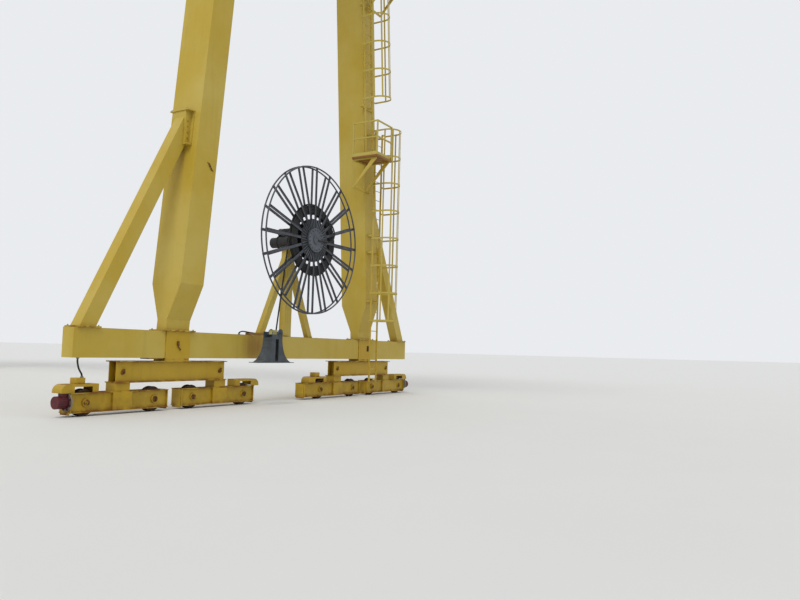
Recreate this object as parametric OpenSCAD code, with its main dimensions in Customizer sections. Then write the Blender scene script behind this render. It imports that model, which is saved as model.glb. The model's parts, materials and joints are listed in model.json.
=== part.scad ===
// Rail mounted gantry crane: two side frames on balanced wheel bogies, two box girders
// across the top, a hoist trolley, a cable reel and an access ladder with safety cages.
// Millimetres. X runs along the rails, Y along the girders, Z up. The origin is the middle
// of the crane on the floor. The near side frame, with the reel and ladder, is at -Y.

/* [Portal] */
// Distance between the two rails
span = 25600; // [24800:100:26400]
// Length of the main girders
girder_len = 39600; // [37600:100:39900]
// Height of the underside of the girders
girder_z = 17000; // [16900:50:17300]
// Depth of the girder boxes
girder_h = 2000; // [1600:50:2200]
// Width of the girder boxes
girder_w = 800; // [700:10:900]
// Distance from the crane's middle line to each girder's outer face
girder_out = 2100; // [2040:10:2110]

/* [Side frames] */
// Length of the sill beams
sill_len = 13250; // [13000:50:13600]
// Width of the sill beams
sill_w = 340; // [300:10:400]
// Depth of the sill beams
sill_h = 610; // [560:10:660]
// Distance from the crane's middle to each leg's foot
corner_x = 3950; // [3900:10:4000]
// Width of a leg at its foot, along the rail
leg_w = 700; // [640:10:760]
// Depth of a leg at its foot, across the rail
leg_foot_d = 300; // [240:10:340]
// Depth of a leg above its tapered foot
leg_d = 926; // [800:2:1000]
// Height of the straight stub under the tapered foot
leg_stub_h = 230; // [150:10:300]
// Height of the tapered foot
leg_taper_h = 830; // [700:10:950]
// Inward lean of the legs, in degrees from upright
leg_lean = 4.8; // [4.5:0.1:5]
// Height of the legs' upper ends
leg_top_z = 20500; // [20450:50:20700]
// Height of the tie beams on the legs
tie_h = 900; // [700:50:1000]
// Width of the tie beams
tie_w = 600; // [500:10:700]
// Thickness of the base plates on the sill
plate_t = 30; // [20:5:40]
// Height where the strut's upper face meets its leg
strut_top_z = 6950; // [6500:50:7300]
// Size of the square struts
strut_w = 340; // [300:10:380]

/* [Undercarriage] */
// Tread diameter of the travel wheels
wheel_d = 500; // [460:10:520]
// Width of the tread between the flanges
tread_w = 96; // [80:2:100]
// Height of the wheel flanges
flange_h = 25; // [20:1:30]
// Radius of the wheel shafts
shaft_r = 40; // [30:1:50]
// Distance between the two wheels of a bogie
wheel_base = 1720; // [1660:10:1780]
// Length of a bogie frame
bogie_len = 2460; // [2420:10:2500]
// Extra length at the inner end of one bogie of each side
bogie_ext = 430; // [380:10:450]
// Depth of a bogie frame
bogie_h = 400; // [380:5:410]
// Gap between bogie frame and rail top
bogie_clear = 50; // [40:5:60]
// Distance from the saddle's middle to each bogie's middle
bogie_off = 1430; // [1400:5:1450]
// Length of an equalizer beam
eq_len = 3240; // [3160:10:3300]
// Width of an equalizer beam
eq_w = 370; // [340:10:400]
// Depth of an equalizer beam
eq_h = 465; // [430:5:490]
// Height of the equalizers' underside
eq_z = 645; // [620:5:670]
// Gap between equalizer and sill
sill_gap = 65; // [50:5:80]
// Radius of the travel drives' flanges
drive_flange_r = 180; // [150:5:180]
// Radius of the travel motors
motor_r = 125; // [100:5:140]
// Length of the travel motors
motor_len = 270; // [240:10:300]
// Height of the wheel covers above the bogie frames
cover_h = 175; // [160:5:190]

/* [Cable reel] */
// Outer radius of the reel
reel_r = 2040; // [1900:10:2100]
// Radius of the rim pipes
rim_r = 21; // [15:1:25]
// Distance between the middles of the two rims
reel_gap = 150; // [140:2:180]
// Number of spoke pairs
spokes = 20; // [14:1:22]
// Width of a spoke
spoke_w = 72; // [50:2:90]
// Inner radius of the wound cable
coil_r0 = 740; // [700:10:780]
// Outer radius of the wound cable
coil_r1 = 970; // [930:10:1100]
// Distance of the reel's middle plane from the sill's middle
reel_out = 850; // [800:10:900]
// Reel axis from the crane's middle, along the rail
reel_x = 90; // [40:10:140]
// Height of the reel's axis
reel_z = 4450; // [4300:10:4550]
// Spread of the stand's diagonal feet
stand_spread = 1110; // [1000:10:1150]

/* [Cable guide] */
// Guide's middle from the crane's middle, along the rail
guide_x = -1360; // [-1400:10:-1300]
// Distance of the guide's middle plane from the sill's middle
guide_out = 800; // [760:10:840]
// Half width of the guide's mouth
guide_mouth = 660; // [600:10:720]
// Half width of the guide's throat
guide_throat = 200; // [160:10:240]
// Height of the flared part
guide_h = 640; // [560:10:700]
// Radius of the feed cable
cable_r = 20; // [14:1:24]

/* [Access] */
// Distance between the ladder's stringers
ladder_w = 400; // [360:10:440]
// Spacing of the rungs
rung_step = 300; // [280:5:320]
// Distance of the ladders from the sill's middle
ladder_out = 680; // [660:10:760]
// Lower ladder's middle from the crane's middle
low_ladder_x = 3670; // [3600:10:3720]
// Distance of the middle ladder towards the inside from its leg's middle line
mid_ladder_in = 330; // [300:10:360]
// Height of the lower rest platform's floor
rest_z = 7430; // [7300:10:7600]
// Height from the lower to the upper rest platform
rest_step = 6000; // [5800:50:6200]
// Height of the handrails
rail_h = 1070; // [1000:10:1200]
// Spacing of the cage hoops
hoop_step = 920; // [850:10:980]
// Width of the girder walkways
walk_w = 800; // [700:10:900]

/* [Hoist trolley] */
// Distance of the trolley from the crane's middle, along the girders
trolley_y = 8000; // [6000:100:9000]
// Length of the trolley's end carriages
carriage_len = 3200; // [3000:50:3600]
// Height of the hook block's top
hook_z = 14200; // [9000:100:14400]

/* [Hidden] */

// Clearance between pieces that turn on each other, and at a leg's sloping faces
run_gap = 0.3;
fit_gap = 0.2;
paint = "gold";
galvanised = "slategray";
steel = "dimgray";

// Heights that follow from the wheels up
wheel_z = flange_h + wheel_d / 2;
bogie_z = flange_h + bogie_clear;
eq_top = eq_z + eq_h;
sill_z = eq_top + sill_gap;
sill_top = sill_z + sill_h;
leg_z = sill_top + plate_t;
knee_z = leg_z + leg_stub_h + leg_taper_h;

// A leg narrows by this share of its height, each side, along the rail and across it
narrow_x = 0.0024;
narrow_y = 0.0028;
lean = tan(leg_lean);

// Corner-local places of a leg's outer and inner faces at height z, +x towards the middle
function leg_mid(z) = (z - leg_z) * lean;
function leg_half(z) = leg_w / 2 - (z - leg_z) * narrow_x;
function leg_outer(z) = leg_mid(z) - leg_half(z);
function leg_inner(z) = leg_mid(z) + leg_half(z);
function leg_side(z) = leg_d / 2 + (z - knee_z) * narrow_y;

// Puts a piece on one side frame, -Y outwards
module at_side(side) {
    translate([0, side * span / 2, 0]) mirror([0, side > 0 ? 1 : 0, 0]) children();
}
// Puts a piece at one leg, +x towards the crane's middle
module at_corner(side, end) {
    at_side(side) mirror([end > 0 ? 1 : 0, 0, 0]) translate([-corner_x, 0, 0]) children();
}
module both_corners(side) {
    for (end = [-1, 1]) at_corner(side, end) children();
}
// A block centred in x and y
module block(x, y, z, at) {
    translate([at[0] - x / 2, at[1] - y / 2, at[2]]) cube([x, y, z]);
}
// Extrudes an X-Z outline across Y, centred
module across(d) {
    translate([0, d / 2, 0]) rotate([90, 0, 0]) linear_extrude(d) children();
}
// Extrudes a Y-Z outline along X, from x0 for a length d
module along(x0, d) {
    translate([x0, 0, 0]) rotate([90, 0, 90]) linear_extrude(d) children();
}
// A straight bar of rectangular section between two points in an X-Z plane
module bar_xz(a, b, w, d) {
    run = norm(b - a);
    translate([a[0], 0, a[1]]) rotate([0, -atan2(b[1] - a[1], b[0] - a[0]), 0])
        translate([0, -d / 2, -w / 2]) cube([run, d, w]);
}

// Sill beam with its end plates and a jacking pad outside each saddle
end_plate_t = 20;
jack_l = 400;
jack_t = 25;
saddle_w = 700;
jack_x = corner_x + saddle_w / 2 + jack_l / 2 + 20;
module sill(side) {
    color(paint) at_side(side) {
        for (end = [-1, 1]) block(jack_l, sill_w - 60, jack_t, [end * jack_x, 0, sill_z - jack_t]);
        block(sill_len - 2 * end_plate_t, sill_w, sill_h, [0, 0, sill_z]);
        for (end = [-1, 1])
            block(end_plate_t, sill_w, sill_h,
                  [end * (sill_len - end_plate_t) / 2, 0, sill_z]);
    }
}

// Saddle that straddles the sill on the middle of each equalizer
saddle_cheek = 20;
module saddle() {
    color(paint) difference() {
        block(saddle_w, sill_w + 2 * saddle_cheek, sill_top - eq_top, [0, 0, eq_top]);
        block(saddle_w + 2, sill_w, sill_h + 2, [0, 0, sill_z]);
    }
}

// Equalizer beam: two webs, two flange plates and stiffeners, open at its ends
web_t = 16;
eq_flange_t = 22;
eq_web_y = 110;
module equalizer() {
    web_h = eq_h - 2 * eq_flange_t;
    color(paint) {
        for (z = [eq_z, eq_top - eq_flange_t])
            block(eq_len, eq_w, eq_flange_t, [0, 0, z]);
        for (s = [-1, 1])
            block(eq_len - 60, web_t, web_h, [0, s * eq_web_y, eq_z + eq_flange_t]);
        for (x = [-bogie_off, 0, bogie_off])
            block(web_t, 2 * eq_web_y, web_h, [x, 0, eq_z + eq_flange_t]);
    }
}

// Bogie frame: webs with flanges, a box at the middle, a pivot pedestal, bearing housings
// and a rail guard at each end; ext lengthens its inner end
bogie_w = 350;
bogie_web_y = 120;
bogie_flange_t = 18;
bogie_flange_w = 60;
bogie_box_l = 480;
pedestal_l = 370;
pedestal_w = 300;
bearing_r = 85;
bearing_t = 45;
guard_w = 270;
guard_t = 20;
guard_z = 40;
guard_h = 120;
bogie_top = bogie_z + bogie_h;
module bogie(ext) {
    len = bogie_len + ext;
    flange_y = (bogie_w - bogie_flange_w) / 2;
    color(paint) difference() {
        union() {
            for (s = [-1, 1]) {
                block(len, web_t, bogie_h, [ext / 2, s * bogie_web_y, bogie_z]);
                for (z = [bogie_z, bogie_top - bogie_flange_t])
                    block(len, bogie_flange_w, bogie_flange_t, [ext / 2, s * flange_y, z]);
                for (e = [-1, 1])
                    translate([e * wheel_base / 2, s * (bogie_web_y + bearing_t / 2), wheel_z])
                        rotate([90, 0, 0]) cylinder(r = bearing_r, h = bearing_t, center = true,
                                                    $fn = 48);
            }
            for (e = [-1, 1]) translate([ext / 2 + e * len / 2, 0, 0]) {
                block(web_t, 2 * bogie_web_y, bogie_h, [-e * web_t / 2, 0, bogie_z]);
                block(guard_t, guard_w, guard_h, [-e * guard_t / 2, 0, guard_z]);
            }
            block(bogie_box_l, bogie_w, bogie_h, [0, 0, bogie_z]);
            block(pedestal_l, pedestal_w, eq_z - bogie_z, [0, 0, bogie_z]);
        }
        for (e = [-1, 1])
            translate([e * wheel_base / 2, 0, wheel_z]) rotate([90, 0, 0])
                cylinder(r = shaft_r + run_gap, h = 2 * bogie_web_y + bearing_t, center = true,
                         $fn = 48);
    }
}
module bogies(side) {
    for (end = [-1, 1], e = [-1, 1]) at_corner(side, end) translate([e * bogie_off, 0, 0])
        bogie(e > 0 && end * side < 0 ? bogie_ext : 0);
}

// Folded plate covers over the wheels that stand clear of the equalizers, open below and
// with a window in each side; one in each pair carries a terminal box
cover_in = 580;
cover_out = 1420;
cover_w = 300;
cover_t = 10;
cover_r = 150;
window_x = 720;
window_l = 410;
window_h = 120;
box_in = 870;
box_l = 200;
box_h = 120;
module cover_outline(t) {
    top = bogie_top + cover_h;
    polygon(concat([[cover_in + t, bogie_top - t], [cover_in + t, top - t]],
                   [for (a = [90:-15:0]) [cover_out - cover_r + (cover_r - t) * cos(a),
                                         top - cover_r + (cover_r - t) * sin(a)]],
                   [[cover_out - t, bogie_top - t]]));
}
module wheel_cover(boxed) {
    difference() {
        across(cover_w) cover_outline(0);
        across(cover_w - 2 * cover_t) cover_outline(cover_t);
        block(window_l, cover_w + 2, window_h, [window_x + window_l / 2, 0, bogie_top]);
    }
    if (boxed) block(box_l, box_l, box_h, [box_in + box_l / 2, 0, bogie_top + cover_h]);
}
module wheel_covers() {
    color(paint) for (side = [-1, 1], end = [-1, 1], e = [-1, 1]) at_corner(side, end)
        translate([e * bogie_off, 0, 0]) mirror([e < 0 ? 1 : 0, 0, 0])
            wheel_cover(end * e * side < 0);
}

// Travel wheel with two flanges, turned with its shaft
hub_r = 75;
hub_y = 95;
disc_y = 24;
rim_in_r = 195;
module wheel_body() {
    flange_r = wheel_d / 2 + flange_h;
    out_y = tread_w / 2 + 30;
    shaft_y = bogie_web_y + bearing_t / 2 - 4;
    half = [[0, 0], [0, shaft_y], [shaft_r, shaft_y], [shaft_r, hub_y], [hub_r, hub_y],
            [hub_r, disc_y], [rim_in_r, disc_y], [rim_in_r, out_y], [flange_r - 12, out_y],
            [flange_r, out_y - 16], [flange_r, tread_w / 2 + 8], [wheel_d / 2, tread_w / 2],
            [wheel_d / 2, 0]];
    rotate([90, 0, 0]) for (m = [0, 1]) mirror([0, 0, m])
        rotate_extrude($fn = 72) polygon(half);
}
// Wheels 1 to 8 run from the left end of the sill to the right
module wheel(side, i) {
    end = i <= 4 ? -1 : 1;
    k = i <= 4 ? i : 9 - i;
    x = (k <= 2 ? -bogie_off : bogie_off) + (k % 2 == 1 ? -1 : 1) * wheel_base / 2;
    color(steel) at_corner(side, end) translate([x, 0, wheel_z]) wheel_body();
}

// Travel drive on the end plate of each outer bogie: flange, finned motor, fan cowl and
// terminal box
motor_y = -70;
motor_z = 295;
drive_flange_t = 30;
cowl_l = 80;
terminal_l = 120;
terminal_up = 50;
fin_r = 8;
fins = 14;
module travel_motor() {
    color("brown") translate([-bogie_off - bogie_len / 2, motor_y, motor_z]) rotate([0, -90, 0]) {
        cylinder(r = drive_flange_r, h = drive_flange_t, $fn = 48);
        cylinder(r = motor_r - fin_r, h = motor_len, $fn = 48);
        translate([0, 0, motor_len - cowl_l]) cylinder(r = motor_r, h = cowl_l, $fn = 48);
        for (i = [0:fins - 1]) rotate(i * 360 / fins)
            translate([0, -fin_r / 4, drive_flange_t / 2])
                cube([motor_r, fin_r / 2, motor_len - cowl_l]);
        translate([0, -terminal_l / 2, drive_flange_t + 10])
            cube([motor_r + terminal_up, terminal_l, terminal_l]);
    }
}

// Legs
module leg_front() {
    polygon([[leg_outer(leg_z), leg_z], [leg_inner(leg_z), leg_z],
             [leg_inner(leg_top_z), leg_top_z], [leg_outer(leg_top_z), leg_top_z]]);
}
module leg_profile() {
    foot = leg_foot_d / 2;
    half = [[foot, leg_z], [foot, leg_z + leg_stub_h], [leg_side(knee_z), knee_z],
            [leg_side(leg_top_z), leg_top_z]];
    polygon(concat(half, [for (i = [3:-1:0]) [-half[i][0], half[i][1]]]));
}
foot_plate_l = 980;
foot_over = 60;
module leg() {
    color(paint) {
        intersection() {
            across(2000) leg_front();
            along(-1000, 4000) leg_profile();
        }
        block(foot_plate_l, sill_w + 2 * foot_over, plate_t, [0, 0, sill_top]);
    }
}

// Outer strut from the sill's end up to a flanged box stub on the leg
strut_foot_x = 330;
strut_plate_l = 520;
stub_l = 200;
stub_h = 840;
stub_w = 400;
stub_flange_w = 600;
stub_flange_t = 25;
doubler_t = 20;
module strut() {
    foot = [strut_foot_x - (sill_len / 2 - corner_x), leg_z];
    face = leg_outer(strut_top_z);
    head = [face - stub_l / 2, strut_top_z - strut_w];
    stub_top = strut_top_z + stub_flange_t;
    stub_z = stub_top - stub_h;
    far = foot[0] - strut_plate_l;
    color(paint) {
        intersection() {
            union() {
                bar_xz(foot - 0.1 * (head - foot), head + 0.1 * (head - foot), strut_w,
                       strut_w - 40);
                block(2 * stub_l, stub_w, stub_h, [face, 0, stub_z]);
                for (z = [stub_z, stub_top - stub_flange_t])
                    block(2 * (stub_l + stub_flange_t), stub_flange_w, stub_flange_t, [face, 0, z]);
                across(stub_flange_w - doubler_t)
                    polygon([[leg_outer(stub_z) - doubler_t, stub_z],
                             [leg_outer(stub_top) - doubler_t, stub_top],
                             [face + stub_l, stub_top], [face + stub_l, stub_z]]);
            }
            across(2 * stub_flange_w)
                polygon([[leg_outer(leg_z) - fit_gap, leg_z], [leg_outer(stub_top) - fit_gap, stub_top],
                         [far, stub_top], [far, leg_z]]);
        }
        block(strut_plate_l, sill_w + 2 * foot_over, plate_t, [foot[0], 0, sill_top]);
    }
}

// Seat that carries a girder between the two legs of its side: a corbel below it and a
// wedge between the leg and the girder's side
seat_drop = 1300;
seat_edge = 250;
seat_half_y = 1400;
seat_rim = 150;
wedge_w = 800;
girder_top = girder_z + girder_h;
girder_x = corner_x - girder_out;
module girder_seat() {
    low = girder_z - seat_drop;
    inner = girder_x + girder_w;
    color(paint) intersection() {
        across(2 * seat_half_y + 200)
            polygon([[leg_inner(low) + fit_gap, low], [inner, girder_z - seat_edge],
                     [inner, girder_z], [leg_inner(girder_z) + fit_gap, girder_z]]);
        along(-1000, 5000)
            polygon([[-wedge_w / 2, low], [wedge_w / 2, low], [seat_half_y, girder_z - seat_rim],
                     [seat_half_y, girder_z], [-seat_half_y, girder_z],
                     [-seat_half_y, girder_z - seat_rim]]);
    }
}
module girder_wedge() {
    color(paint) across(wedge_w)
        polygon([[leg_inner(girder_z) + fit_gap, girder_z], [girder_x, girder_z],
                 [girder_x, girder_top], [leg_inner(girder_top) + fit_gap, girder_top]]);
}

// Tie beam on top of the two legs of a side, with a lightning rod at one end
mast_r = 20;
mast_h = 1500;
module tie(side) {
    half = corner_x - leg_outer(leg_top_z) + 100;
    color(paint) at_side(side) {
        block(2 * half, tie_w, tie_h, [0, 0, leg_top_z]);
        translate([half - 5 * mast_r, 0, leg_top_z + tie_h])
            cylinder(r = mast_r, h = mast_h, $fn = 16);
    }
}

// Main girder with the trolley's rail and an end stop at each end of the rail
rail_w = 60;
rail_t = 60;
rail_in = 130;
rail_end = 200;
stop_h = 450;
rail_x = girder_out - girder_w + rail_in;
rail_top = girder_top + rail_t;
module girder(end) {
    mid = girder_out - girder_w / 2;
    color(paint) mirror([end > 0 ? 1 : 0, 0, 0]) {
        block(girder_w, girder_len, girder_h, [-mid, 0, girder_z]);
        block(rail_w, girder_len - 2 * rail_end, rail_t, [-rail_x, 0, girder_top]);
        for (e = [-1, 1])
            block(2 * rail_in, rail_end / 2, stop_h,
                  [-rail_x, e * (girder_len / 2 - 3 * rail_end / 4), girder_top]);
    }
}

// Walkways outside the girders, in three lengths that stop at the legs
leg_clear = 560;
walk_t = 50;
walk_y = [[-girder_len / 2, -span / 2 - leg_clear], [-span / 2 + leg_clear, span / 2 - leg_clear],
          [span / 2 + leg_clear, girder_len / 2]];
module walkways() {
    color(paint) for (end = [0, 1], w = walk_y) mirror([end, 0, 0])
        translate([-girder_out - walk_w, w[0], girder_top - walk_t])
            cube([walk_w, w[1] - w[0], walk_t]);
}
// Upright plates that carry the walkways on the girders' sides
walk_plate_t = 20;
walk_plate_h = 600;
module walkway_brackets() {
    top = girder_top - walk_t;
    color(paint) for (end = [0, 1], w = walk_y, i = [0:bays(w)]) mirror([end, 0, 0])
        translate([0, bay_at(w, i), 0])
            across(walk_plate_t) polygon([[-girder_out, top], [-girder_out, top - walk_plate_h],
                                          [-girder_out - walk_w, top - walk_plate_h / 10],
                                          [-girder_out - walk_w, top]]);
}
// Handrail posts stand at most this far apart
post_step = 1600;
post_w = 40;
toe_t = 8;
toe_h = 100;
module handrail_run(len, h) {
    n = ceil(len / post_step);
    for (i = [0:n]) translate([0, i * (len - post_w) / n, 0]) cube([post_w, post_w, h]);
    for (z = [h / 2, h - post_w]) translate([0, 0, z]) cube([post_w, len, post_w]);
    cube([toe_t, len, toe_h]);
}
module handrails() {
    color(paint) for (end = [0, 1], w = walk_y) mirror([end, 0, 0])
        translate([-girder_out - walk_w, w[0], girder_top]) handrail_run(w[1] - w[0], rail_h);
}
// Walkway brackets stand at most this far apart, and a floodlight hangs in the bays named
bay_max = 3000;
function bays(w) = ceil((w[1] - w[0]) / bay_max);
function bay_at(w, i) = w[0] + 60 + i * (w[1] - w[0] - 120) / bays(w);
module floodlights() {
    color(galvanised) for (end = [0, 1], w = walk_y) mirror([end, 0, 0])
        for (i = [1:3:bays(w) - 1])
            translate([-girder_out - walk_w / 2, bay_at(w, i + 0.5), girder_top - walk_t]) {
                block(60, 60, 120, [0, 0, -120]);
                block(420, 300, 160, [0, 0, -280]);
            }
}

// Trolley: two end carriages on wheels, and two cross beams on which the hoist stands
trolley_wheel_r = 200;
trolley_wheel_in = 350;
carriage_z = rail_top + 120;
carriage_h = 320;
carriage_w = 260;
beam_w = 300;
beam_y = 900;
module trolley_frame() {
    color(paint) translate([0, trolley_y, 0]) for (s = [-1, 1]) {
        block(carriage_w, carriage_len, carriage_h, [s * rail_x, 0, carriage_z]);
        for (e = [-1, 1]) translate([s * rail_x, e * (carriage_len / 2 - trolley_wheel_in),
                                     rail_top + trolley_wheel_r])
            rotate([0, 90, 0]) cylinder(r = trolley_wheel_r, h = 1.5 * rail_w, center = true,
                                        $fn = 48);
    }
}
module trolley_beams() {
    color(paint) translate([0, trolley_y, 0]) for (e = [-1, 1])
        block(2 * rail_x - carriage_w, beam_w, carriage_h, [0, e * beam_y, carriage_z]);
}
drum_r = 260;
drum_len = 1500;
drum_flange_t = 30;
drum_z = carriage_z + carriage_h + drum_r + 100;
module hoist_drum() {
    color(galvanised) translate([0, trolley_y, drum_z]) rotate([0, 90, 0]) {
        cylinder(r = drum_r, h = drum_len, center = true, $fn = 64);
        for (e = [-1, 1]) translate([0, 0, e * (drum_len - drum_flange_t) / 2])
            cylinder(r = drum_r + 60, h = drum_flange_t, center = true, $fn = 64);
    }
}
// Bearing stands of the drum, with a gearbox and a motor on one of them
stand_t = 60;
gear_l = 260;
gear_h = 520;
hoist_motor_r = 160;
hoist_motor_l = 420;
module hoist_drive() {
    low = carriage_z + carriage_h;
    side_x = drum_len / 2 + run_gap + stand_t;
    color(galvanised) translate([0, trolley_y, 0]) {
        for (s = [-1, 1]) mirror([s > 0 ? 1 : 0, 0, 0]) translate([-side_x, 0, 0])
            along(0, stand_t) polygon([[-beam_y - beam_w / 2, low], [beam_y + beam_w / 2, low],
                                       [beam_y, low + 150], [drum_r, drum_z + drum_r / 2],
                                       [-drum_r, drum_z + drum_r / 2], [-beam_y, low + 150]]);
        block(gear_l, gear_h, gear_h, [-side_x - gear_l / 2, drum_r / 2, drum_z - gear_h / 2]);
        translate([-side_x - gear_l, drum_r / 2, drum_z]) rotate([0, -90, 0])
            cylinder(r = hoist_motor_r, h = hoist_motor_l, $fn = 48);
    }
}
rope_x = 400;
rope_r = 14;
rope_y = drum_r + rope_r + run_gap;
module hoist_ropes() {
    color(steel) for (sx = [-1, 1], sy = [-1, 1])
        translate([sx * rope_x, trolley_y + sy * rope_y, hook_z])
            cylinder(r = rope_r, h = drum_z - hook_z, $fn = 16);
}
// Hook block: two grooved sheaves between cheeks, a crosshead, a shank and a hook
sheave_w = 90;
sheave_lip = 12;
cheek_t = 20;
cheek_w = 380;
axle_r = 50;
crosshead_h = 200;
hook_r = 190;
hook_in_r = 95;
module sheave() {
    groove = drum_r;
    lip = rope_y + rope_r + sheave_lip;
    half = [[0, 0], [groove, 0], [groove, rope_r + 2], [lip, sheave_w / 2 - 10],
            [lip, sheave_w / 2], [0, sheave_w / 2]];
    rotate([0, 90, 0]) for (m = [0, 1]) mirror([0, 0, m]) rotate_extrude($fn = 64) polygon(half);
}
module hook_block() {
    cheek_x = sheave_w / 2 + cheek_t / 2 + 5;
    low = hook_z - drum_r - crosshead_h;
    color(paint) translate([0, trolley_y, 0]) {
        for (s = [-1, 1]) {
            translate([s * rope_x, 0, hook_z]) sheave();
            for (e = [-1, 1])
                block(cheek_t, cheek_w, drum_r + crosshead_h + 100, [s * rope_x + e * cheek_x, 0, low]);
        }
        translate([0, 0, hook_z]) rotate([0, 90, 0])
            cylinder(r = axle_r, h = 2 * (rope_x + cheek_x) + 60, center = true, $fn = 32);
        block(2 * (rope_x + cheek_x), cheek_w / 2, crosshead_h - 60, [0, 0, low]);
        translate([0, 0, low - 150]) cylinder(r = axle_r, h = 160, $fn = 32);
        translate([0, 0, low - 150 - hook_in_r - axle_r]) rotate([90, 0, 0])
            linear_extrude(1.6 * axle_r, center = true) difference() {
                circle(r = hook_r, $fn = 64);
                circle(r = hook_in_r, $fn = 48);
                translate([-hook_r, 0]) square([hook_r - axle_r / 2, hook_r]);
            }
    }
}

// Cable reel, turned so that its local z points outwards
module at_reel() {
    at_side(-1) translate([reel_x, -reel_out, reel_z]) rotate([90, 0, 0]) children();
}
spoke_t = 6;
lip_h = 20;
hub_plate_r = 590;
plate_in = reel_gap / 2 - rim_r + 12;
peg_r = 14;
module reel_flange() {
    rotate_extrude($fn = 96) translate([reel_r - rim_r, reel_gap / 2]) circle(r = rim_r, $fn = 24);
    translate([0, 0, plate_in]) {
        difference() {
            cylinder(r = hub_plate_r, h = spoke_t, $fn = 64);
            translate([0, 0, -1]) cylinder(r = reel_shaft_r + fit_gap, h = spoke_t + 2, $fn = 48);
        }
        for (i = [0:spokes - 1]) rotate(i * 360 / spokes) {
            translate([hub_plate_r - 20, -spoke_w / 2, 0])
                cube([reel_r - rim_r - hub_plate_r + 20, spoke_w, spoke_t]);
            for (s = [0, 1]) translate([hub_plate_r - 20, -spoke_w / 2 + s * (spoke_w - 6), 0])
                cube([reel_r - 2 * rim_r - hub_plate_r + 20, 6, lip_h]);
        }
    }
}
module reel_front_flange() {
    color(galvanised) at_reel() {
        reel_flange();
        for (i = [0:spokes - 1]) rotate(i * 360 / spokes) {
            translate([coil_r0 - peg_r - run_gap, 0, -plate_in])
                cylinder(r = peg_r, h = 2 * plate_in + 2, $fn = 16);
        }
    }
}
module reel_back_flange() {
    color(galvanised) at_reel() mirror([0, 0, 1]) reel_flange();
}
module reel_windings() {
    w = plate_in - 4;
    color("black") at_reel() rotate_extrude($fn = 96)
        polygon([[coil_r0, -w], [coil_r1, -w], [coil_r1, w], [coil_r0, w]]);
}
hub_core_r = 300;
hub_cap_r = 330;
reel_shaft_r = 60;
module reel_hub() {
    front = plate_in + spoke_t;
    color(galvanised) at_reel() {
        cylinder(r = hub_core_r, h = 2 * plate_in, center = true, $fn = 64);
        translate([0, 0, front]) cylinder(r = hub_cap_r, h = 60, $fn = 64);
        translate([0, 0, -600]) cylinder(r = reel_shaft_r, h = 600 + front + 10, $fn = 48);
    }
}

// Stand of the reel: a post and two diagonals on the sill
post_x = 280;
post_y = 200;
stand_top = reel_z - 230;
module reel_stand() {
    color(paint) at_side(-1) translate([reel_x, 0, 0]) {
        block(post_x, post_y, stand_top - sill_top, [0, 0, sill_top]);
        intersection() {
            for (s = [-1, 1])
                bar_xz([s * stand_spread, sill_top - 100], [s * 60, stand_top - 200], 180, 150);
            block(4000, 400, 4000, [0, 0, sill_top]);
        }
        block(420, 420, 30, [0, 0, stand_top]);
    }
}
// Drive of the reel: a torque unit on the shaft, its motor above, and their bracket
drive_r = 180;
drive_front = -400;
drive_len = 1000;
drive_band = 40;
drive_band_out = 15;
drive_cap = 250;
reel_motor_r = 110;
reel_motor_up = drive_r + reel_motor_r - drive_band / 2;
reel_motor_len = 600;
reel_motor_from = 260;
drive_foot = 260;
drive_step = 30;
clamp_y = 120;
clamp_h = 480;
clamp_out = 220;
clamp_low = 60;
module reel_drive() {
    base = stand_top + 30;
    color(steel) difference() {
        union() {
            at_reel() translate([0, 0, drive_front - drive_len]) {
                cylinder(r = drive_r - drive_step, h = drive_len, $fn = 48);
                translate([0, 0, drive_cap]) cylinder(r = drive_r, h = drive_len - drive_cap, $fn = 48);
                for (z = [drive_cap, (drive_len + drive_cap) / 2, drive_len - drive_band])
                    translate([0, 0, z]) cylinder(r = drive_r + drive_band_out, h = drive_band, $fn = 48);
                translate([0, reel_motor_up, reel_motor_from]) {
                    cylinder(r = reel_motor_r, h = reel_motor_len, $fn = 48);
                    for (z = [0, reel_motor_len - drive_band])
                        translate([0, 0, z])
                            cylinder(r = reel_motor_r + drive_band_out, h = drive_band, $fn = 48);
                }
            }
            at_side(-1) {
                block(drive_foot, clamp_y, clamp_h, [reel_x, -clamp_out, reel_z - clamp_low]);
                block(drive_foot, drive_foot, reel_z - base, [reel_x, 0, base]);
            }
        }
        at_reel() translate([0, 0, -reel_out]) cylinder(r = reel_shaft_r + run_gap, h = 500, $fn = 48);
    }
}

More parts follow.
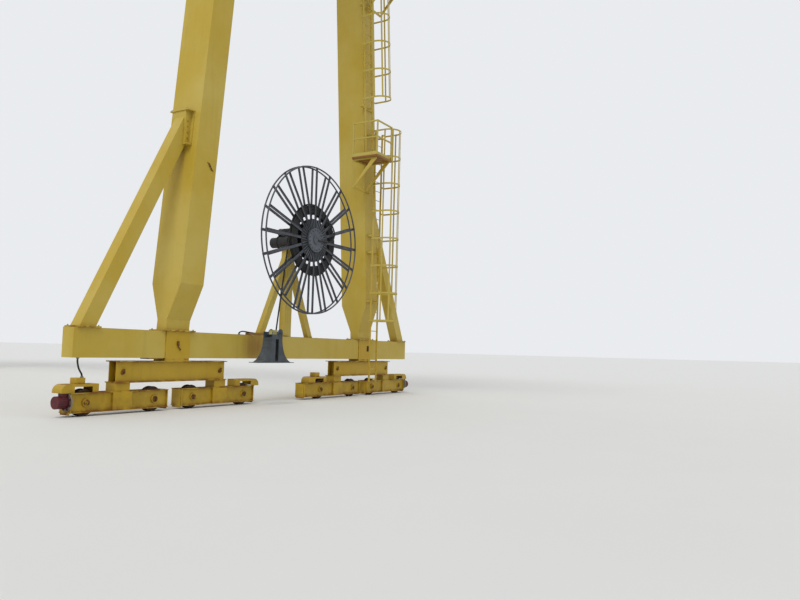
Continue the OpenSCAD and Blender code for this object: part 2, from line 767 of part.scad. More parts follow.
// Flared guide, open above and below, that turns the feed cable either way along the
// trench, with two rollers between cheeks on its throat
guide_d = 300;
guide_t = 12;
guide_low = 90;
guide_slot = 120;
guide_lip = 40;
throat_z = sill_z - guide_low + guide_h;
roller_r = 38;
roller_shift = 34;
guide_cheek_h = 150;
guide_arm_h = 60;
module guide_outline(t, over) {
    mouth_z = sill_z - guide_low;
    steps = 10;
    edge = [for (i = [0:steps]) let (a = 90 * i / steps)
            [guide_throat - t + (guide_mouth - guide_throat) * (1 - sin(a)),
             mouth_z + guide_h * (1 - cos(a))]];
    low = [guide_mouth - t, mouth_z - over];
    top = [guide_throat - t, throat_z + over];
    right = over > 0 ? concat([low], edge, [top]) : edge;
    polygon(concat(right, [for (i = [len(right) - 1:-1:0]) [-right[i][0], right[i][1]]]));
}
module cable_guide() {
    color("darkslategray") at_side(-1) translate([guide_x, 0, 0]) {
        translate([0, -guide_out, 0]) {
            difference() {
                union() {
                    across(guide_d) guide_outline(0, 0);
                    block(2 * guide_mouth + guide_lip, guide_d + guide_lip, guide_t,
                          [0, 0, sill_z - guide_low]);
                }
                across(guide_d - 2 * guide_t) guide_outline(guide_t, 1);
                block(guide_slot, guide_d, guide_h - 2 * guide_lip,
                      [0, -guide_d / 2, sill_z - guide_low + guide_lip]);
            }
            for (s = [-1, 1]) {
                block(2 * guide_throat, guide_t, guide_cheek_h,
                      [0, s * (guide_d - guide_t) / 2, throat_z]);
                translate([roller_shift + s * (roller_r + cable_r + 5), 0,
                           throat_z + guide_cheek_h / 2])
                    rotate([90, 0, 0]) cylinder(r = roller_r, h = guide_d - guide_t,
                                                center = true, $fn = 32);
            }
        }
        for (s = [-1, 1])
            translate([s * (guide_throat - guide_lip) - guide_t / 2,
                       -guide_out + guide_d / 2 - guide_t, sill_top])
                cube([guide_t, guide_out - guide_d / 2, guide_arm_h]);
    }
}
// A round bar between two points
module rod(a, b, r, sides) {
    d = b - a;
    translate(a) rotate([0, acos(d[2] / norm(d)), atan2(d[1], d[0])])
        cylinder(r = r, h = norm(d), $fn = sides);
}
module feed_cable() {
    arm = coil_r1 + cable_r + run_gap;
    low = [guide_x, -reel_out, throat_z - guide_cheek_h];
    t = atan2(reel_x - arm - low[0], reel_z - low[2]);
    top = [reel_x - arm * cos(t), -reel_out, reel_z + arm * sin(t)];
    color("black") at_side(-1) rod(top, low, cable_r, 12);
}

// Ladders with rungs and stringers, and the cages round them
cage_r = 350;
cage_d = 750;
strap_t = 8;
strap_w = 50;
cage_from = 1900;
stringer_w = 60;
stringer_t = 14;
rung_r = 12;
rung_first = 100;
module ladder(z0, z1) {
    n = floor((z1 - z0 - rung_first) / rung_step);
    for (s = [-1, 1])
        block(stringer_t, stringer_w, z1 - z0, [s * ladder_w / 2, 0, z0]);
    for (i = [0:n]) translate([0, 0, z0 + rung_first + i * rung_step]) rotate([0, 90, 0])
        cylinder(r = rung_r, h = ladder_w, center = true, $fn = 6);
}
// Middle line of the right leg, and of the middle ladder beside it, at height z
function right_mid(z) = corner_x - leg_mid(z);
function mid_ladder_x(z) = right_mid(z) - mid_ladder_in;
low_foot_z = 475;
rest2_z = rest_z + rest_step;
top_ladder_x = girder_out + walk_w + cage_r + 30;
// The leaning middle ladder follows its leg, from just above the lower rest platform up
module at_mid_ladder() {
    translate([mid_ladder_x(rest_z), 0, rest_z]) rotate([0, -leg_lean, 0]) children();
}
mid_foot = (ladder_w / 2 + stringer_t) * sin(leg_lean) + 5;
mid_len = (rest_step + rail_h) / cos(leg_lean);
module ladders() {
    color(paint) at_side(-1) {
        translate([low_ladder_x, -ladder_out, 0]) ladder(low_foot_z, rest_z + rail_h);
        at_mid_ladder() translate([0, -ladder_out, 0]) ladder(mid_foot, mid_len);
        translate([top_ladder_x, -ladder_out, 0]) ladder(rest2_z, girder_top + rail_h);
    }
}
// Heights of the ladders' brackets, from the foot of each flight's leg or platform
low_brackets = [1185, 2745, 3285, 6535];
mid_brackets = [1720, 4920, 5470];
top_brackets = [1470, 3470, 5000];
bracket_t = 50;
bracket_over = 200;
arm_t = 30;
// A bar across the right leg's outer face
module face_bar(x0, x1, z) {
    face = leg_side(z + bracket_t) + fit_gap;
    translate([x0, -face - bracket_t, z]) cube([x1 - x0, bracket_t, bracket_t]);
}
// A stand-off bracket from the leg to the stringers of a ladder centred at x
module standoff(x, z) {
    back = ladder_out - stringer_w / 2 - fit_gap;
    face = leg_side(z + bracket_t) + fit_gap;
    face_bar(min(right_mid(z) - bracket_over, x - ladder_w / 2),
             max(right_mid(z) + bracket_over, x + ladder_w / 2), z);
    for (s = [-1, 1]) translate([x + s * ladder_w / 2 - arm_t / 2, -back, z])
        cube([arm_t, back - face - bracket_t / 2, bracket_t]);
}
// Two bars and two triangular frames under a rest platform
brace_drop = 950;
brace_in = 60;
brace_t = 40;
module platform_braces(x, z) {
    low = z - brace_drop;
    top = z - rest_t;
    far = leg_side(z) + rest_d - brace_in;
    near = leg_side(z) + fit_gap + bracket_t - 5;
    x1 = x + rest_w - brace_in;
    for (h = [low, top - bracket_t])
        face_bar(min(x + brace_in, right_mid(z)), max(x1, right_mid(z)), h);
    for (bx = [x + brace_in, x1 - brace_t]) along(bx, brace_t)
        polygon([[-near, top], [-far, top], [-far, top - brace_t], [-near, low],
                 [-near, low + 2 * brace_t], [-far + 4 * brace_t, top - brace_t],
                 [-near, top - brace_t]]);
}
module ladder_brackets() {
    color(paint) at_side(-1) {
        for (h = low_brackets) standoff(low_ladder_x, leg_z + h);
        for (h = mid_brackets) standoff(mid_ladder_x(rest_z + h), rest_z + h);
        for (h = top_brackets) standoff(top_ladder_x, rest2_z + h);
        platform_braces(rest_x, rest_z);
        platform_braces(rest2_x, rest2_z);
    }
}
// One hoop, its plan drawn with the ladder's outer face at y = 0
module hoop() {
    linear_extrude(strap_w) {
        for (s = [0, 1]) mirror([s, 0]) translate([ladder_w / 2 - stringer_t / 2, -strap_t])
            square([cage_r - ladder_w / 2 + stringer_t / 2, strap_t]);
        difference() {
            union() {
                translate([0, cage_r - cage_d]) circle(r = cage_r, $fn = 48);
                translate([-cage_r, cage_r - cage_d]) square([2 * cage_r, cage_d - cage_r]);
            }
            translate([0, cage_r - cage_d]) circle(r = cage_r - strap_t, $fn = 48);
            translate([-cage_r + strap_t, cage_r - cage_d])
                square([2 * (cage_r - strap_t), cage_d]);
        }
    }
}
module cage(z0, z1) {
    n = ceil((z1 - z0) / hoop_step);
    translate([0, -ladder_out - stringer_w / 2, 0]) {
        for (i = [0:n]) translate([0, 0, z0 + i * (z1 - z0 - strap_w) / n]) hoop();
        for (a = [-180:45:0]) translate([0, cage_r - cage_d, z0]) rotate(a)
            translate([cage_r - 2 * strap_t, -strap_w / 2, 0]) cube([strap_t, strap_w, z1 - z0]);
    }
}
module ladder_cages() {
    color(paint) at_side(-1) {
        translate([low_ladder_x, 0, 0]) cage(low_foot_z + cage_from, rest_z + rail_h);
        at_mid_ladder() cage(cage_from, mid_len);
        translate([top_ladder_x, 0, 0]) cage(rest2_z + cage_from, girder_top + rail_h);
    }
}
rest_w = 870;
rest_d = 920;
rest_t = 60;
// Left edges of the two rest platforms
rest_x = low_ladder_x - cage_r - rest_w - 5;
rest2_x = mid_ladder_x(rest2_z) + cage_r + 5;
module rest_platforms() {
    color(paint) at_side(-1) for (p = [[rest_x, rest_z], [rest2_x, rest2_z]])
        translate([p[0], -leg_side(p[1]) - fit_gap - rest_d, p[1] - rest_t])
            cube([rest_w, rest_d, rest_t]);
}
// Handrails on the open end and the front of each platform
module corner_rail(x, z, open) {
    y = -leg_side(z) - fit_gap - rest_d;
    translate([x + (open > 0 ? rest_w - post_w : 0), y, z]) handrail_run(rest_d - 12, rail_h);
    translate([x, y + post_w, z]) rotate(-90) handrail_run(rest_w, rail_h);
}
module platform_rails() {
    color(paint) at_side(-1) {
        corner_rail(rest_x, rest_z, -1);
        corner_rail(rest2_x, rest2_z, 1);
    }
}

sill(-1);  // near_sill
sill(1);  // far_sill
for (side = [-1, 1]) both_corners(side) saddle();  // saddles
both_corners(-1) equalizer();  // near_equalizers
both_corners(1) equalizer();  // far_equalizers
bogies(-1);  // near_bogies
bogies(1);  // far_bogies
for (side = [-1, 1]) both_corners(side) travel_motor();  // travel_motors
wheel_covers();
wheel(-1, 1);  // near_wheel_1
wheel(-1, 2);  // near_wheel_2
wheel(-1, 3);  // near_wheel_3
wheel(-1, 4);  // near_wheel_4
wheel(-1, 5);  // near_wheel_5
wheel(-1, 6);  // near_wheel_6
wheel(-1, 7);  // near_wheel_7
wheel(-1, 8);  // near_wheel_8
wheel(1, 1);  // far_wheel_1
wheel(1, 2);  // far_wheel_2
wheel(1, 3);  // far_wheel_3
wheel(1, 4);  // far_wheel_4
wheel(1, 5);  // far_wheel_5
wheel(1, 6);  // far_wheel_6
wheel(1, 7);  // far_wheel_7
wheel(1, 8);  // far_wheel_8
at_corner(-1, -1) leg();  // near_left_leg
at_corner(-1, 1) leg();  // near_right_leg
at_corner(1, -1) leg();  // far_left_leg
at_corner(1, 1) leg();  // far_right_leg
for (side = [-1, 1]) both_corners(side) strut();  // struts
for (side = [-1, 1]) both_corners(side) girder_seat();  // girder_seats
for (side = [-1, 1]) both_corners(side) girder_wedge();  // girder_wedges
tie(-1);  // near_tie
tie(1);  // far_tie
girder(-1);  // left_girder
girder(1);  // right_girder
walkways();
walkway_brackets();
handrails();
floodlights();
trolley_frame();
trolley_beams();
hoist_drum();
hoist_drive();
hoist_ropes();
hook_block();
reel_front_flange();
reel_back_flange();
reel_windings();
reel_hub();
reel_stand();
reel_drive();
cable_guide();
feed_cable();
ladders();
ladder_brackets();
ladder_cages();
rest_platforms();
platform_rails();
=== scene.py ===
"""Rail mounted gantry crane: finishes, fasteners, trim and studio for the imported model.

Metres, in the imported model's frame: X along the rails, Y along the girders, Z up.
"""
import json
import math
import random

import bmesh
import bpy
from mathutils import Matrix, Quaternion, Vector

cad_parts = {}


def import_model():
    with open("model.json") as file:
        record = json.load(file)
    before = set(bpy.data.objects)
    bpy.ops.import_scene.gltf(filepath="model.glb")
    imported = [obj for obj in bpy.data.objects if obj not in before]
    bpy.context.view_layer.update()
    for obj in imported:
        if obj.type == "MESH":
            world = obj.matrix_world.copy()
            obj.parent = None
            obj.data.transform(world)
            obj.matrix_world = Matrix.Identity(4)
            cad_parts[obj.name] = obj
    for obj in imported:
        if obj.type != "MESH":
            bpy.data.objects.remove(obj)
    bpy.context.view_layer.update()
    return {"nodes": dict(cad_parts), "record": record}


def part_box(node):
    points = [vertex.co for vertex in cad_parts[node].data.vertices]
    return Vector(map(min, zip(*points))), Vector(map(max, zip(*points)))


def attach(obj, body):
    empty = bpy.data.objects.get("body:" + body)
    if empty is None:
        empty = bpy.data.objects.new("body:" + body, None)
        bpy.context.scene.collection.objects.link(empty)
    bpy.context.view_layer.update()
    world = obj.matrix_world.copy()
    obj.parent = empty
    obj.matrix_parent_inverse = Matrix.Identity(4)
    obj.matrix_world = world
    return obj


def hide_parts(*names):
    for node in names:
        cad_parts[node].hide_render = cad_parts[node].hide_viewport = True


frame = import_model()
random.seed(7)

SIDES = ("near", "far")
SIDE_Y = {side: (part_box(f"{side}_sill")[0].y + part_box(f"{side}_sill")[1].y) / 2 for side in SIDES}
OUT = {"near": -1, "far": 1}

# Camera

CAMERA_AT = Vector((-15.603, -25.577, 1.477))
CAMERA_YAW, CAMERA_PITCH, CAMERA_ROLL = (math.radians(a) for a in (30.059, 4.058, 1.482))
CAMERA_LENS = 32.11


def make_camera():
    """The photograph's place and view; yaw is measured from +X towards +Y."""
    data = bpy.data.cameras.new("camera")
    data.lens = CAMERA_LENS
    data.clip_end = 2000
    camera = bpy.data.objects.new("camera", data)
    bpy.context.scene.collection.objects.link(camera)
    ahead = Vector((math.cos(CAMERA_YAW) * math.cos(CAMERA_PITCH),
                    math.sin(CAMERA_YAW) * math.cos(CAMERA_PITCH), math.sin(CAMERA_PITCH)))
    level = Vector((math.sin(CAMERA_YAW), -math.cos(CAMERA_YAW), 0))
    upright = level.cross(ahead)
    right = level * math.cos(CAMERA_ROLL) + upright * math.sin(CAMERA_ROLL)
    up = upright * math.cos(CAMERA_ROLL) - level * math.sin(CAMERA_ROLL)
    turn = Matrix((right, up, -ahead)).transposed().to_4x4()
    camera.matrix_world = Matrix.Translation(CAMERA_AT) @ turn
    bpy.context.scene.camera = camera


make_camera()


# Materials

class Finish:
    """A material's node tree, written in few lines."""

    def __init__(self, name, roughness=0.5, metallic=0.0, specular=0.5):
        self.material = bpy.data.materials.new(name)
        self.material.use_nodes = True
        self.tree = self.material.node_tree
        self.shader = self.tree.nodes["Principled BSDF"]
        self.shader.inputs["Roughness"].default_value = roughness
        self.shader.inputs["Metallic"].default_value = metallic
        self.shader.inputs["Specular IOR Level"].default_value = specular
        self.place = self.tree.nodes.new("ShaderNodeTexCoord").outputs["Object"]

    def put(self, socket, value):
        """Links or sets one input."""
        if isinstance(value, bpy.types.NodeSocket):
            self.tree.links.new(value, socket)
        elif isinstance(value, tuple) and len(value) == 3 and socket.type == "RGBA":
            socket.default_value = (*value, 1)
        else:
            socket.default_value = value

    def node(self, kind, inputs, output=0, **settings):
        made = self.tree.nodes.new(f"ShaderNode{kind}")
        for key, value in settings.items():
            setattr(made, key, value)
        for key, value in inputs.items():
            self.put(made.inputs[key], value)
        return made.outputs[output]

    def scaled(self, x, y, z):
        """The place, stretched: small numbers draw a pattern out along that axis."""
        return self.node("VectorMath", {0: self.place, 1: (x, y, z)}, operation="MULTIPLY")

    def noise(self, scale, detail, rough=0.55, place=None):
        return self.node("TexNoise", {"Vector": place or self.place, "Scale": scale,
                                      "Detail": detail, "Roughness": rough}, "Fac")

    def ramp(self, value, low, high, to_low=0.0, to_high=1.0):
        """Maps value from low..high to to_low..to_high, held at both ends."""
        return self.node("MapRange", {"Value": value, "From Min": low, "From Max": high,
                                      "To Min": to_low, "To Max": to_high}, "Result",
                         interpolation_type="SMOOTHSTEP")

    def maths(self, operation, a, b=0.0):
        return self.node("Math", {0: a, 1: b}, operation=operation)

    def times(self, *values):
        product = values[0]
        for value in values[1:]:
            product = self.maths("MULTIPLY", product, value)
        return product

    def mix(self, share, a, b):
        """a where share is 0, b where it is 1; a and b are colours."""
        made = self.tree.nodes.new("ShaderNodeMix")
        made.data_type = "RGBA"
        for index, value in ((0, share), (6, a), (7, b)):
            self.put(made.inputs[index], value)
        return made.outputs[2]

    def axis(self, letter):
        return self.node("SeparateXYZ", {0: self.place}, letter)

    def corners(self, reach):
        """Mask for painted shade, from ambient occlusion: 1 deep in corners and under ledges, 0 on open
        faces.
        """
        open_sky = self.node("AmbientOcclusion", {"Distance": reach}, "AO", samples=6)
        return self.ramp(open_sky, 0.85, 0.35)

    def near_heights(self, heights, reach):
        """1 at any of some heights, fading to 0 at that distance from it."""
        share = None
        for height in heights:
            off = self.maths("ABSOLUTE", self.maths("SUBTRACT", self.axis("Z"), height))
            close = self.ramp(off, reach, reach * 0.3)
            share = close if share is None else self.maths("MAXIMUM", share, close)
        return share

    def from_axle(self, x, z):
        """Distance from a line along Y."""
        off = self.node("VectorMath", {0: self.place, 1: (x, 0, z)}, operation="SUBTRACT")
        flat = self.node("VectorMath", {0: off, 1: (1, 0, 1)}, operation="MULTIPLY")
        return self.node("VectorMath", {0: flat}, "Value", operation="LENGTH")

    def finish(self, colour, roughness=None, bump=None, strength=0.2, reach=0.002):
        self.put(self.shader.inputs["Base Color"], colour)
        if roughness is not None:
            self.put(self.shader.inputs["Roughness"], roughness)
        if bump is not None:
            normal = self.node("Bump", {"Height": bump, "Strength": strength, "Distance": reach})
            self.put(self.shader.inputs["Normal"], normal)
        return self.material


def srgb(red, green, blue):
    """A colour as a picture shows it, 0 to 255, in the renderer's linear values."""
    return tuple((c / 12.92 if c <= 0.04045 else ((c + 0.055) / 1.055) ** 2.4)
                 for c in (red / 255, green / 255, blue / 255))


def shade(colour, share):
    return tuple(c * share for c in colour)


RUST = srgb(118, 62, 28)
DARK_RUST = srgb(66, 38, 24)
GRIME = srgb(92, 76, 40)
# Brown of the painted shade in the yellow paint's corners
CORNER_SHADE_BROWN = srgb(112, 70, 24)
# Brown of a painted shadow
SHADOW_BROWN = srgb(146, 94, 20)
# Dark of the painted shade in the zinc's corners
ZINC_CORNER_SHADE = srgb(52, 46, 40)
WHEEL_BROWN = srgb(70, 50, 38)
BARE_STEEL = srgb(110, 106, 100)
DUST = srgb(70, 68, 64)
# Near-black of the painted shade in machinery's corners
CORNER_SHADE_DARK = srgb(28, 24, 22)

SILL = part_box("near_sill")
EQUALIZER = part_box("near_equalizers")
# Heights of the plate edges that rust: the middle of each plate's thickness
PLATE_EDGES = (SILL[1].z + 0.012, SILL[0].z, EQUALIZER[1].z - 0.01, EQUALIZER[0].z + 0.01,
               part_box("wheel_covers")[0].z - 0.008)
REEL = next(j for j in frame["record"]["behaviour"]["joints"] if j["child"] == "reel")
REEL_AT = Vector(REEL["pos_m"])
HUB_PLATE_R = 0.59

FADE_SIZE, MOTTLE_SIZE, SPOT_SIZE = 0.5, 5.0, 14.0
SPLASH_TOP, SPLASH_FULL = 1.2, 0.1
FOOT_TOP, FOOT_FULL = 0.2, 0.05
CORNER_REACH = 0.15
EDGE_REACH = 0.022
# Reach of the painted brown shadow, and where it is at full strength
SHADOW_R, SHADOW_FULL_R = 0.62, 0.05


def weathered(name, base, faded, rust=0.5, grime=0.6, shadow_at=None):
    """Outdoor gloss paint: faded, streaked by rain, browned by painted shade in corners, rusty in spots
    and at edges.

    stain is the middle of a painted brown shadow.
    """
    f = Finish(name, specular=0.3)
    # Faded patches, a finer mottle and streaks of rain
    mottle = f.noise(MOTTLE_SIZE, 5)
    colour = f.mix(f.ramp(f.noise(FADE_SIZE, 3), 0.35, 0.7, 0, 0.7), base, faded)
    colour = f.mix(f.ramp(mottle, 0.4, 0.8, 0, 0.16 * grime), colour, shade(base, 0.7))
    streaks = f.noise(1.0, 5, 0.6, f.scaled(8, 8, 0.35))
    colour = f.mix(f.ramp(streaks, 0.52, 0.8, 0, 0.22 * grime), colour, GRIME)
    # Dirt splashed up from the ground, painted shade in corners and a painted brown shadow
    splash = f.ramp(f.axis("Z"), SPLASH_TOP, SPLASH_FULL)
    spray = f.times(splash, f.ramp(f.noise(3.0, 6, 0.65), 0.35, 0.7), 0.55 * grime)
    colour = f.mix(spray, colour, GRIME)
    # Painted shade: the paint browned in corners and under ledges, from ambient occlusion
    worn = f.times(f.corners(CORNER_REACH), f.ramp(mottle, 0.35, 0.65, 0.2, 1), rust)
    colour = f.mix(worn, colour, CORNER_SHADE_BROWN)
    # Painted shadow: a brown patch round the given place, fading out with distance
    if shadow_at:
        away = f.node("VectorMath", {0: f.place, 1: shadow_at}, "Value", operation="DISTANCE")
        near = f.ramp(away, SHADOW_R, SHADOW_FULL_R)
        colour = f.mix(f.times(near, f.ramp(streaks, 0.3, 0.6, 0.4, 1), 0.75), colour, SHADOW_BROWN)
    # Rust in spots and runs here and there, along plate edges and at the foot
    spots = f.ramp(f.noise(SPOT_SIZE, 6, 0.7), 0.67, 0.74)
    runs = f.ramp(f.noise(1.0, 4, 0.5, f.scaled(22, 22, 0.8)), 0.7, 0.82)
    where = f.ramp(f.noise(0.9, 4), 0.5, 0.7)
    rusty = f.maths("MAXIMUM", f.times(spots, where, rust), f.times(runs, where, 0.4 * rust))
    edge = f.near_heights(PLATE_EDGES, EDGE_REACH)
    rusty = f.maths("MAXIMUM", rusty, f.times(edge, f.ramp(mottle, 0.36, 0.6), 0.8))
    foot = f.ramp(f.axis("Z"), FOOT_TOP, FOOT_FULL)
    rusty = f.maths("MAXIMUM", rusty, f.times(foot, f.ramp(f.noise(7.0, 5), 0.35, 0.6), rust))
    colour = f.mix(rusty, colour, RUST)
    # Rust is rough, and the coat has an orange peel over slightly wavy plate
    rough = f.ramp(f.maths("ADD", rusty, f.maths("MULTIPLY", mottle, 0.6)), 0.2, 1.0, 0.42, 0.8)
    peel = f.maths("ADD", f.noise(90.0, 2), f.maths("MULTIPLY", f.noise(1.6, 2), 6.0))
    return f.finish(colour, rough, peel, 0.2, 0.003)


def rusted(name, base, paint, left):
    """Bare steel gone to rust, with some of its old paint left."""
    f = Finish(name, specular=0.25)
    blotch = f.noise(16.0, 6, 0.65)
    colour = f.mix(f.ramp(blotch, 0.3, 0.7), base, DARK_RUST)
    colour = f.mix(f.ramp(f.noise(9.0, 5), 0.5, 0.62, 0, left), colour, paint)
    return f.finish(colour, f.ramp(blotch, 0.3, 0.7, 0.65, 0.9), blotch, 0.4, 0.002)


def galvanised(name, base, zinc_corner_shade=0.3, dark=None, hub_shade_reach=0.0):
    """Hot dipped zinc, spangled and dulled, darkened by painted shade in corners.

    dark, if given, is a colour of painted shade that covers it out to the last argument's distance from
    the reel's axle.
    """
    f = Finish(name, metallic=0.35)
    spangle = f.node("TexVoronoi", {"Vector": f.place, "Scale": 26.0}, "Distance")
    colour = f.mix(f.ramp(spangle, 0.1, 0.6, 0, 0.4), base, shade(base, 1.35))
    dull = f.noise(3.0, 5)
    colour = f.mix(f.ramp(dull, 0.4, 0.75, 0, 0.6), colour, shade(base, 0.6))
    # Painted shade: the flange near-black out to the given distance from the reel's axle, round the hub
    if dark:
        inner = f.ramp(f.from_axle(REEL_AT.x, REEL_AT.z), hub_shade_reach + 0.01, hub_shade_reach - 0.01)
        colour = f.mix(f.maths("MULTIPLY", inner, 0.9), colour, dark)
    # Painted shade: darker zinc in corners and under ledges, from ambient occlusion
    colour = f.mix(f.maths("MULTIPLY", f.corners(0.1), zinc_corner_shade), colour, ZINC_CORNER_SHADE)
    return f.finish(colour, f.ramp(dull, 0.3, 0.7, 0.42, 0.65), f.noise(60.0, 3), 0.15, 0.001)


def rolled(name, bright):
    """Rust brown steel of wheels and ropes, worn bright in flecks."""
    f = Finish(name, metallic=0.4)
    blotch = f.noise(9.0, 6, 0.65)
    colour = f.mix(f.ramp(blotch, 0.35, 0.7), DARK_RUST, WHEEL_BROWN)
    colour = f.mix(f.ramp(f.noise(30.0, 4), 0.55, 0.75, 0, bright), colour, BARE_STEEL)
    return f.finish(colour, f.ramp(blotch, 0.3, 0.7, 0.4, 0.8), blotch, 0.35, 0.002)


def rubber(name, base):
    """A cable's sheath, dusty in patches."""
    f = Finish(name, specular=0.35)
    dust = f.noise(6.0, 5)
    colour = f.mix(f.ramp(dust, 0.4, 0.8, 0, 0.5), base, DUST)
    return f.finish(colour, f.ramp(dust, 0.3, 0.7, 0.5, 0.75), f.noise(40.0, 3), 0.2, 0.001)


def machine_paint(name, base, faded, machine_corner_shade=0.3, other=None, there=None):
    """Painted cast housing, darkened by painted shade in its corners; other is its colour where
    there(finish) is 1.
    """
    f = Finish(name, specular=0.45)
    wear = f.noise(4.0, 5, 0.6)
    colour = f.mix(f.ramp(wear, 0.35, 0.7, 0, 0.8), base, faded)
    if other:
        colour = f.mix(there(f), colour, other)
    # Painted shade: near-black in corners and under ledges, from ambient occlusion
    colour = f.mix(f.maths("MULTIPLY", f.corners(0.08), machine_corner_shade), colour, CORNER_SHADE_DARK)
    chips = f.ramp(f.noise(26.0, 5, 0.7), 0.68, 0.74)
    colour = f.mix(f.maths("MULTIPLY", chips, 0.6), colour, DARK_RUST)
    return f.finish(colour, f.ramp(wear, 0.3, 0.7, 0.4, 0.65), f.noise(110.0, 3), 0.3, 0.001)


def lens(name):
    """Ribbed lamp glass, a little dusty."""
    f = Finish(name, roughness=0.12, specular=0.6)
    ribs = f.node("TexWave", {"Vector": f.place, "Scale": 18.0})
    colour = f.mix(f.ramp(f.noise(8.0, 4), 0.4, 0.7), srgb(206, 212, 212), srgb(186, 188, 180))
    return f.finish(colour, None, ribs, 0.5, 0.002)


TRAVEL_MOTOR_LEN = 0.24
DRIVE_FACE = abs(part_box("travel_motors")[1].x) - TRAVEL_MOTOR_LEN
GUIDE_LOW, GUIDE_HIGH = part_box("cable_guide")
GUIDE_BODY = 0.35
GUIDE_BACK = GUIDE_LOW.y + GUIDE_BODY
HOOK_LEN = 0.38
HOOK_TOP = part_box("hook_block")[0].z + HOOK_LEN


def gearbox_face(f):
    """1 on the travel drives inside of the motors."""
    return f.ramp(f.maths("ABSOLUTE", f.axis("X")), DRIVE_FACE + 0.002, DRIVE_FACE - 0.002)


def guide_arms(f):
    """1 behind the guide's body."""
    return f.ramp(f.axis("Y"), GUIDE_BACK - 0.01, GUIDE_BACK + 0.01)


def hook_steel(f):
    """1 on the hook under its block."""
    return f.ramp(f.axis("Z"), HOOK_TOP + 0.003, HOOK_TOP - 0.003)


# The last place is the middle of a painted brown shadow on the sill by the cable guide
PAINT = weathered("crane_yellow_paint", srgb(188, 160, 54), srgb(197, 177, 92), 0.4, 0.45,
                  (-1.33, SILL[0].y, 1.5))
LOW_PAINT = weathered("crane_yellow_low", srgb(186, 151, 30), srgb(188, 157, 48), 0.8, 0.6)
UNDER_PAINT = weathered("crane_yellow_platform", srgb(148, 104, 42), srgb(116, 74, 38), 1.0, 1.0)
THIN_PAINT = weathered("crane_yellow_cages", srgb(188, 166, 72), srgb(186, 172, 100), 0.6, 0.4)
RUSTY = rusted("rusty_steel", srgb(104, 62, 34), srgb(160, 122, 40), 0.4)
CLEAT = rusted("stained_paint", srgb(134, 96, 44), srgb(178, 140, 44), 0.8)
# Dark rusted steel, also the painted shade in the leg and saddle holes
DARK_STEEL_AND_HOLE_SHADE = rusted("dark_rusty_steel_and_hole_shade", srgb(54, 40, 32), srgb(84, 60, 34), 0.3)
# The reel's flanges carry painted shade, near-black out to 0.59 m from the axle
ZINC = galvanised("galvanised_reel", srgb(76, 79, 86), 0.3, srgb(30, 31, 34), HUB_PLATE_R)
HUB_ZINC = galvanised("galvanised_hub", srgb(88, 93, 100))
GREY_PAINT = machine_paint("grey_machinery", srgb(112, 116, 118), srgb(132, 134, 132))
BLACK_PAINT = machine_paint("black_drive", srgb(26, 27, 28), srgb(40, 40, 39), 0.2)
GUIDE_PAINT = machine_paint("blue_grey_guide", srgb(50, 57, 62), srgb(80, 88, 96), 0.4,
                            srgb(132, 98, 44), guide_arms)
RED_PAINT = machine_paint("red_motor", srgb(94, 14, 24), srgb(68, 18, 23), 0.6,
                          srgb(128, 122, 112), gearbox_face)
WHEEL_STEEL = rolled("wheel_steel", 0.4)
HOOK_PAINT = machine_paint("hook_block_paint", srgb(184, 150, 36), srgb(170, 138, 44), 0.5,
                           srgb(62, 56, 52), hook_steel)
CABLE = rubber("black_cable", srgb(24, 24, 25))
ROPE = rolled("wire_rope_steel", 0.9)
LAMP = machine_paint("lamp_housing", srgb(120, 122, 122), srgb(142, 144, 144))
SWITCH_PAINT = machine_paint("switch_box", srgb(176, 168, 106), srgb(150, 152, 112), 0.4)
GLASS = lens("lamp_glass")

NODE_FINISH = {
    "ladder_cages": THIN_PAINT, "platform_rails": THIN_PAINT, "handrails": THIN_PAINT,
    "saddles": LOW_PAINT, "travel_motors": RED_PAINT, "wheel_covers": LOW_PAINT,
    "hook_block": HOOK_PAINT, "hoist_drum": GREY_PAINT, "hoist_drive": GREY_PAINT, "hoist_ropes": ROPE,
    "floodlights": LAMP, "reel_front_flange": ZINC, "reel_back_flange": ZINC,
    "reel_hub": HUB_ZINC, "reel_windings": CABLE, "reel_drive": BLACK_PAINT,
    "cable_guide": GUIDE_PAINT, "feed_cable": CABLE, "rest_platforms": UNDER_PAINT,
}


def finish_nodes():
    """Gives every CAD node its finish; what isn't named above is the crane's own yellow."""
    for name, piece in frame["nodes"].items():
        if "_wheel_" in name:
            finish = WHEEL_STEEL
        elif "bogies" in name or "equalizers" in name:
            finish = LOW_PAINT
        else:
            finish = NODE_FINISH.get(name, PAINT)
        piece.data.materials.clear()
        piece.data.materials.append(finish)


finish_nodes()


# Shapes

# The way the near side faces, and back towards the far side
OUTWARD, INWARD = Vector((0, -1, 0)), Vector((0, 1, 0))
UP = Vector((0, 0, 1))
SAME_POINT = 0.0002
# Top, radius and sides of a bolt's washer, head and thread, where the head's width is 1
BOLT = ((0.14, 0.95, 12), (0.75, 0.56, 6), (1.05, 0.3, 8))


def merged(node):
    """A working copy of a CAD node's mesh with its double points joined."""
    bm = bmesh.new()
    bm.from_mesh(frame["nodes"][node].data)
    bmesh.ops.remove_doubles(bm, verts=bm.verts, dist=SAME_POINT)
    return bm


def within(a, b):
    """Whether box a lies in box b."""
    return all(b[0][i] <= a[0][i] and a[1][i] <= b[1][i] for i in range(3))


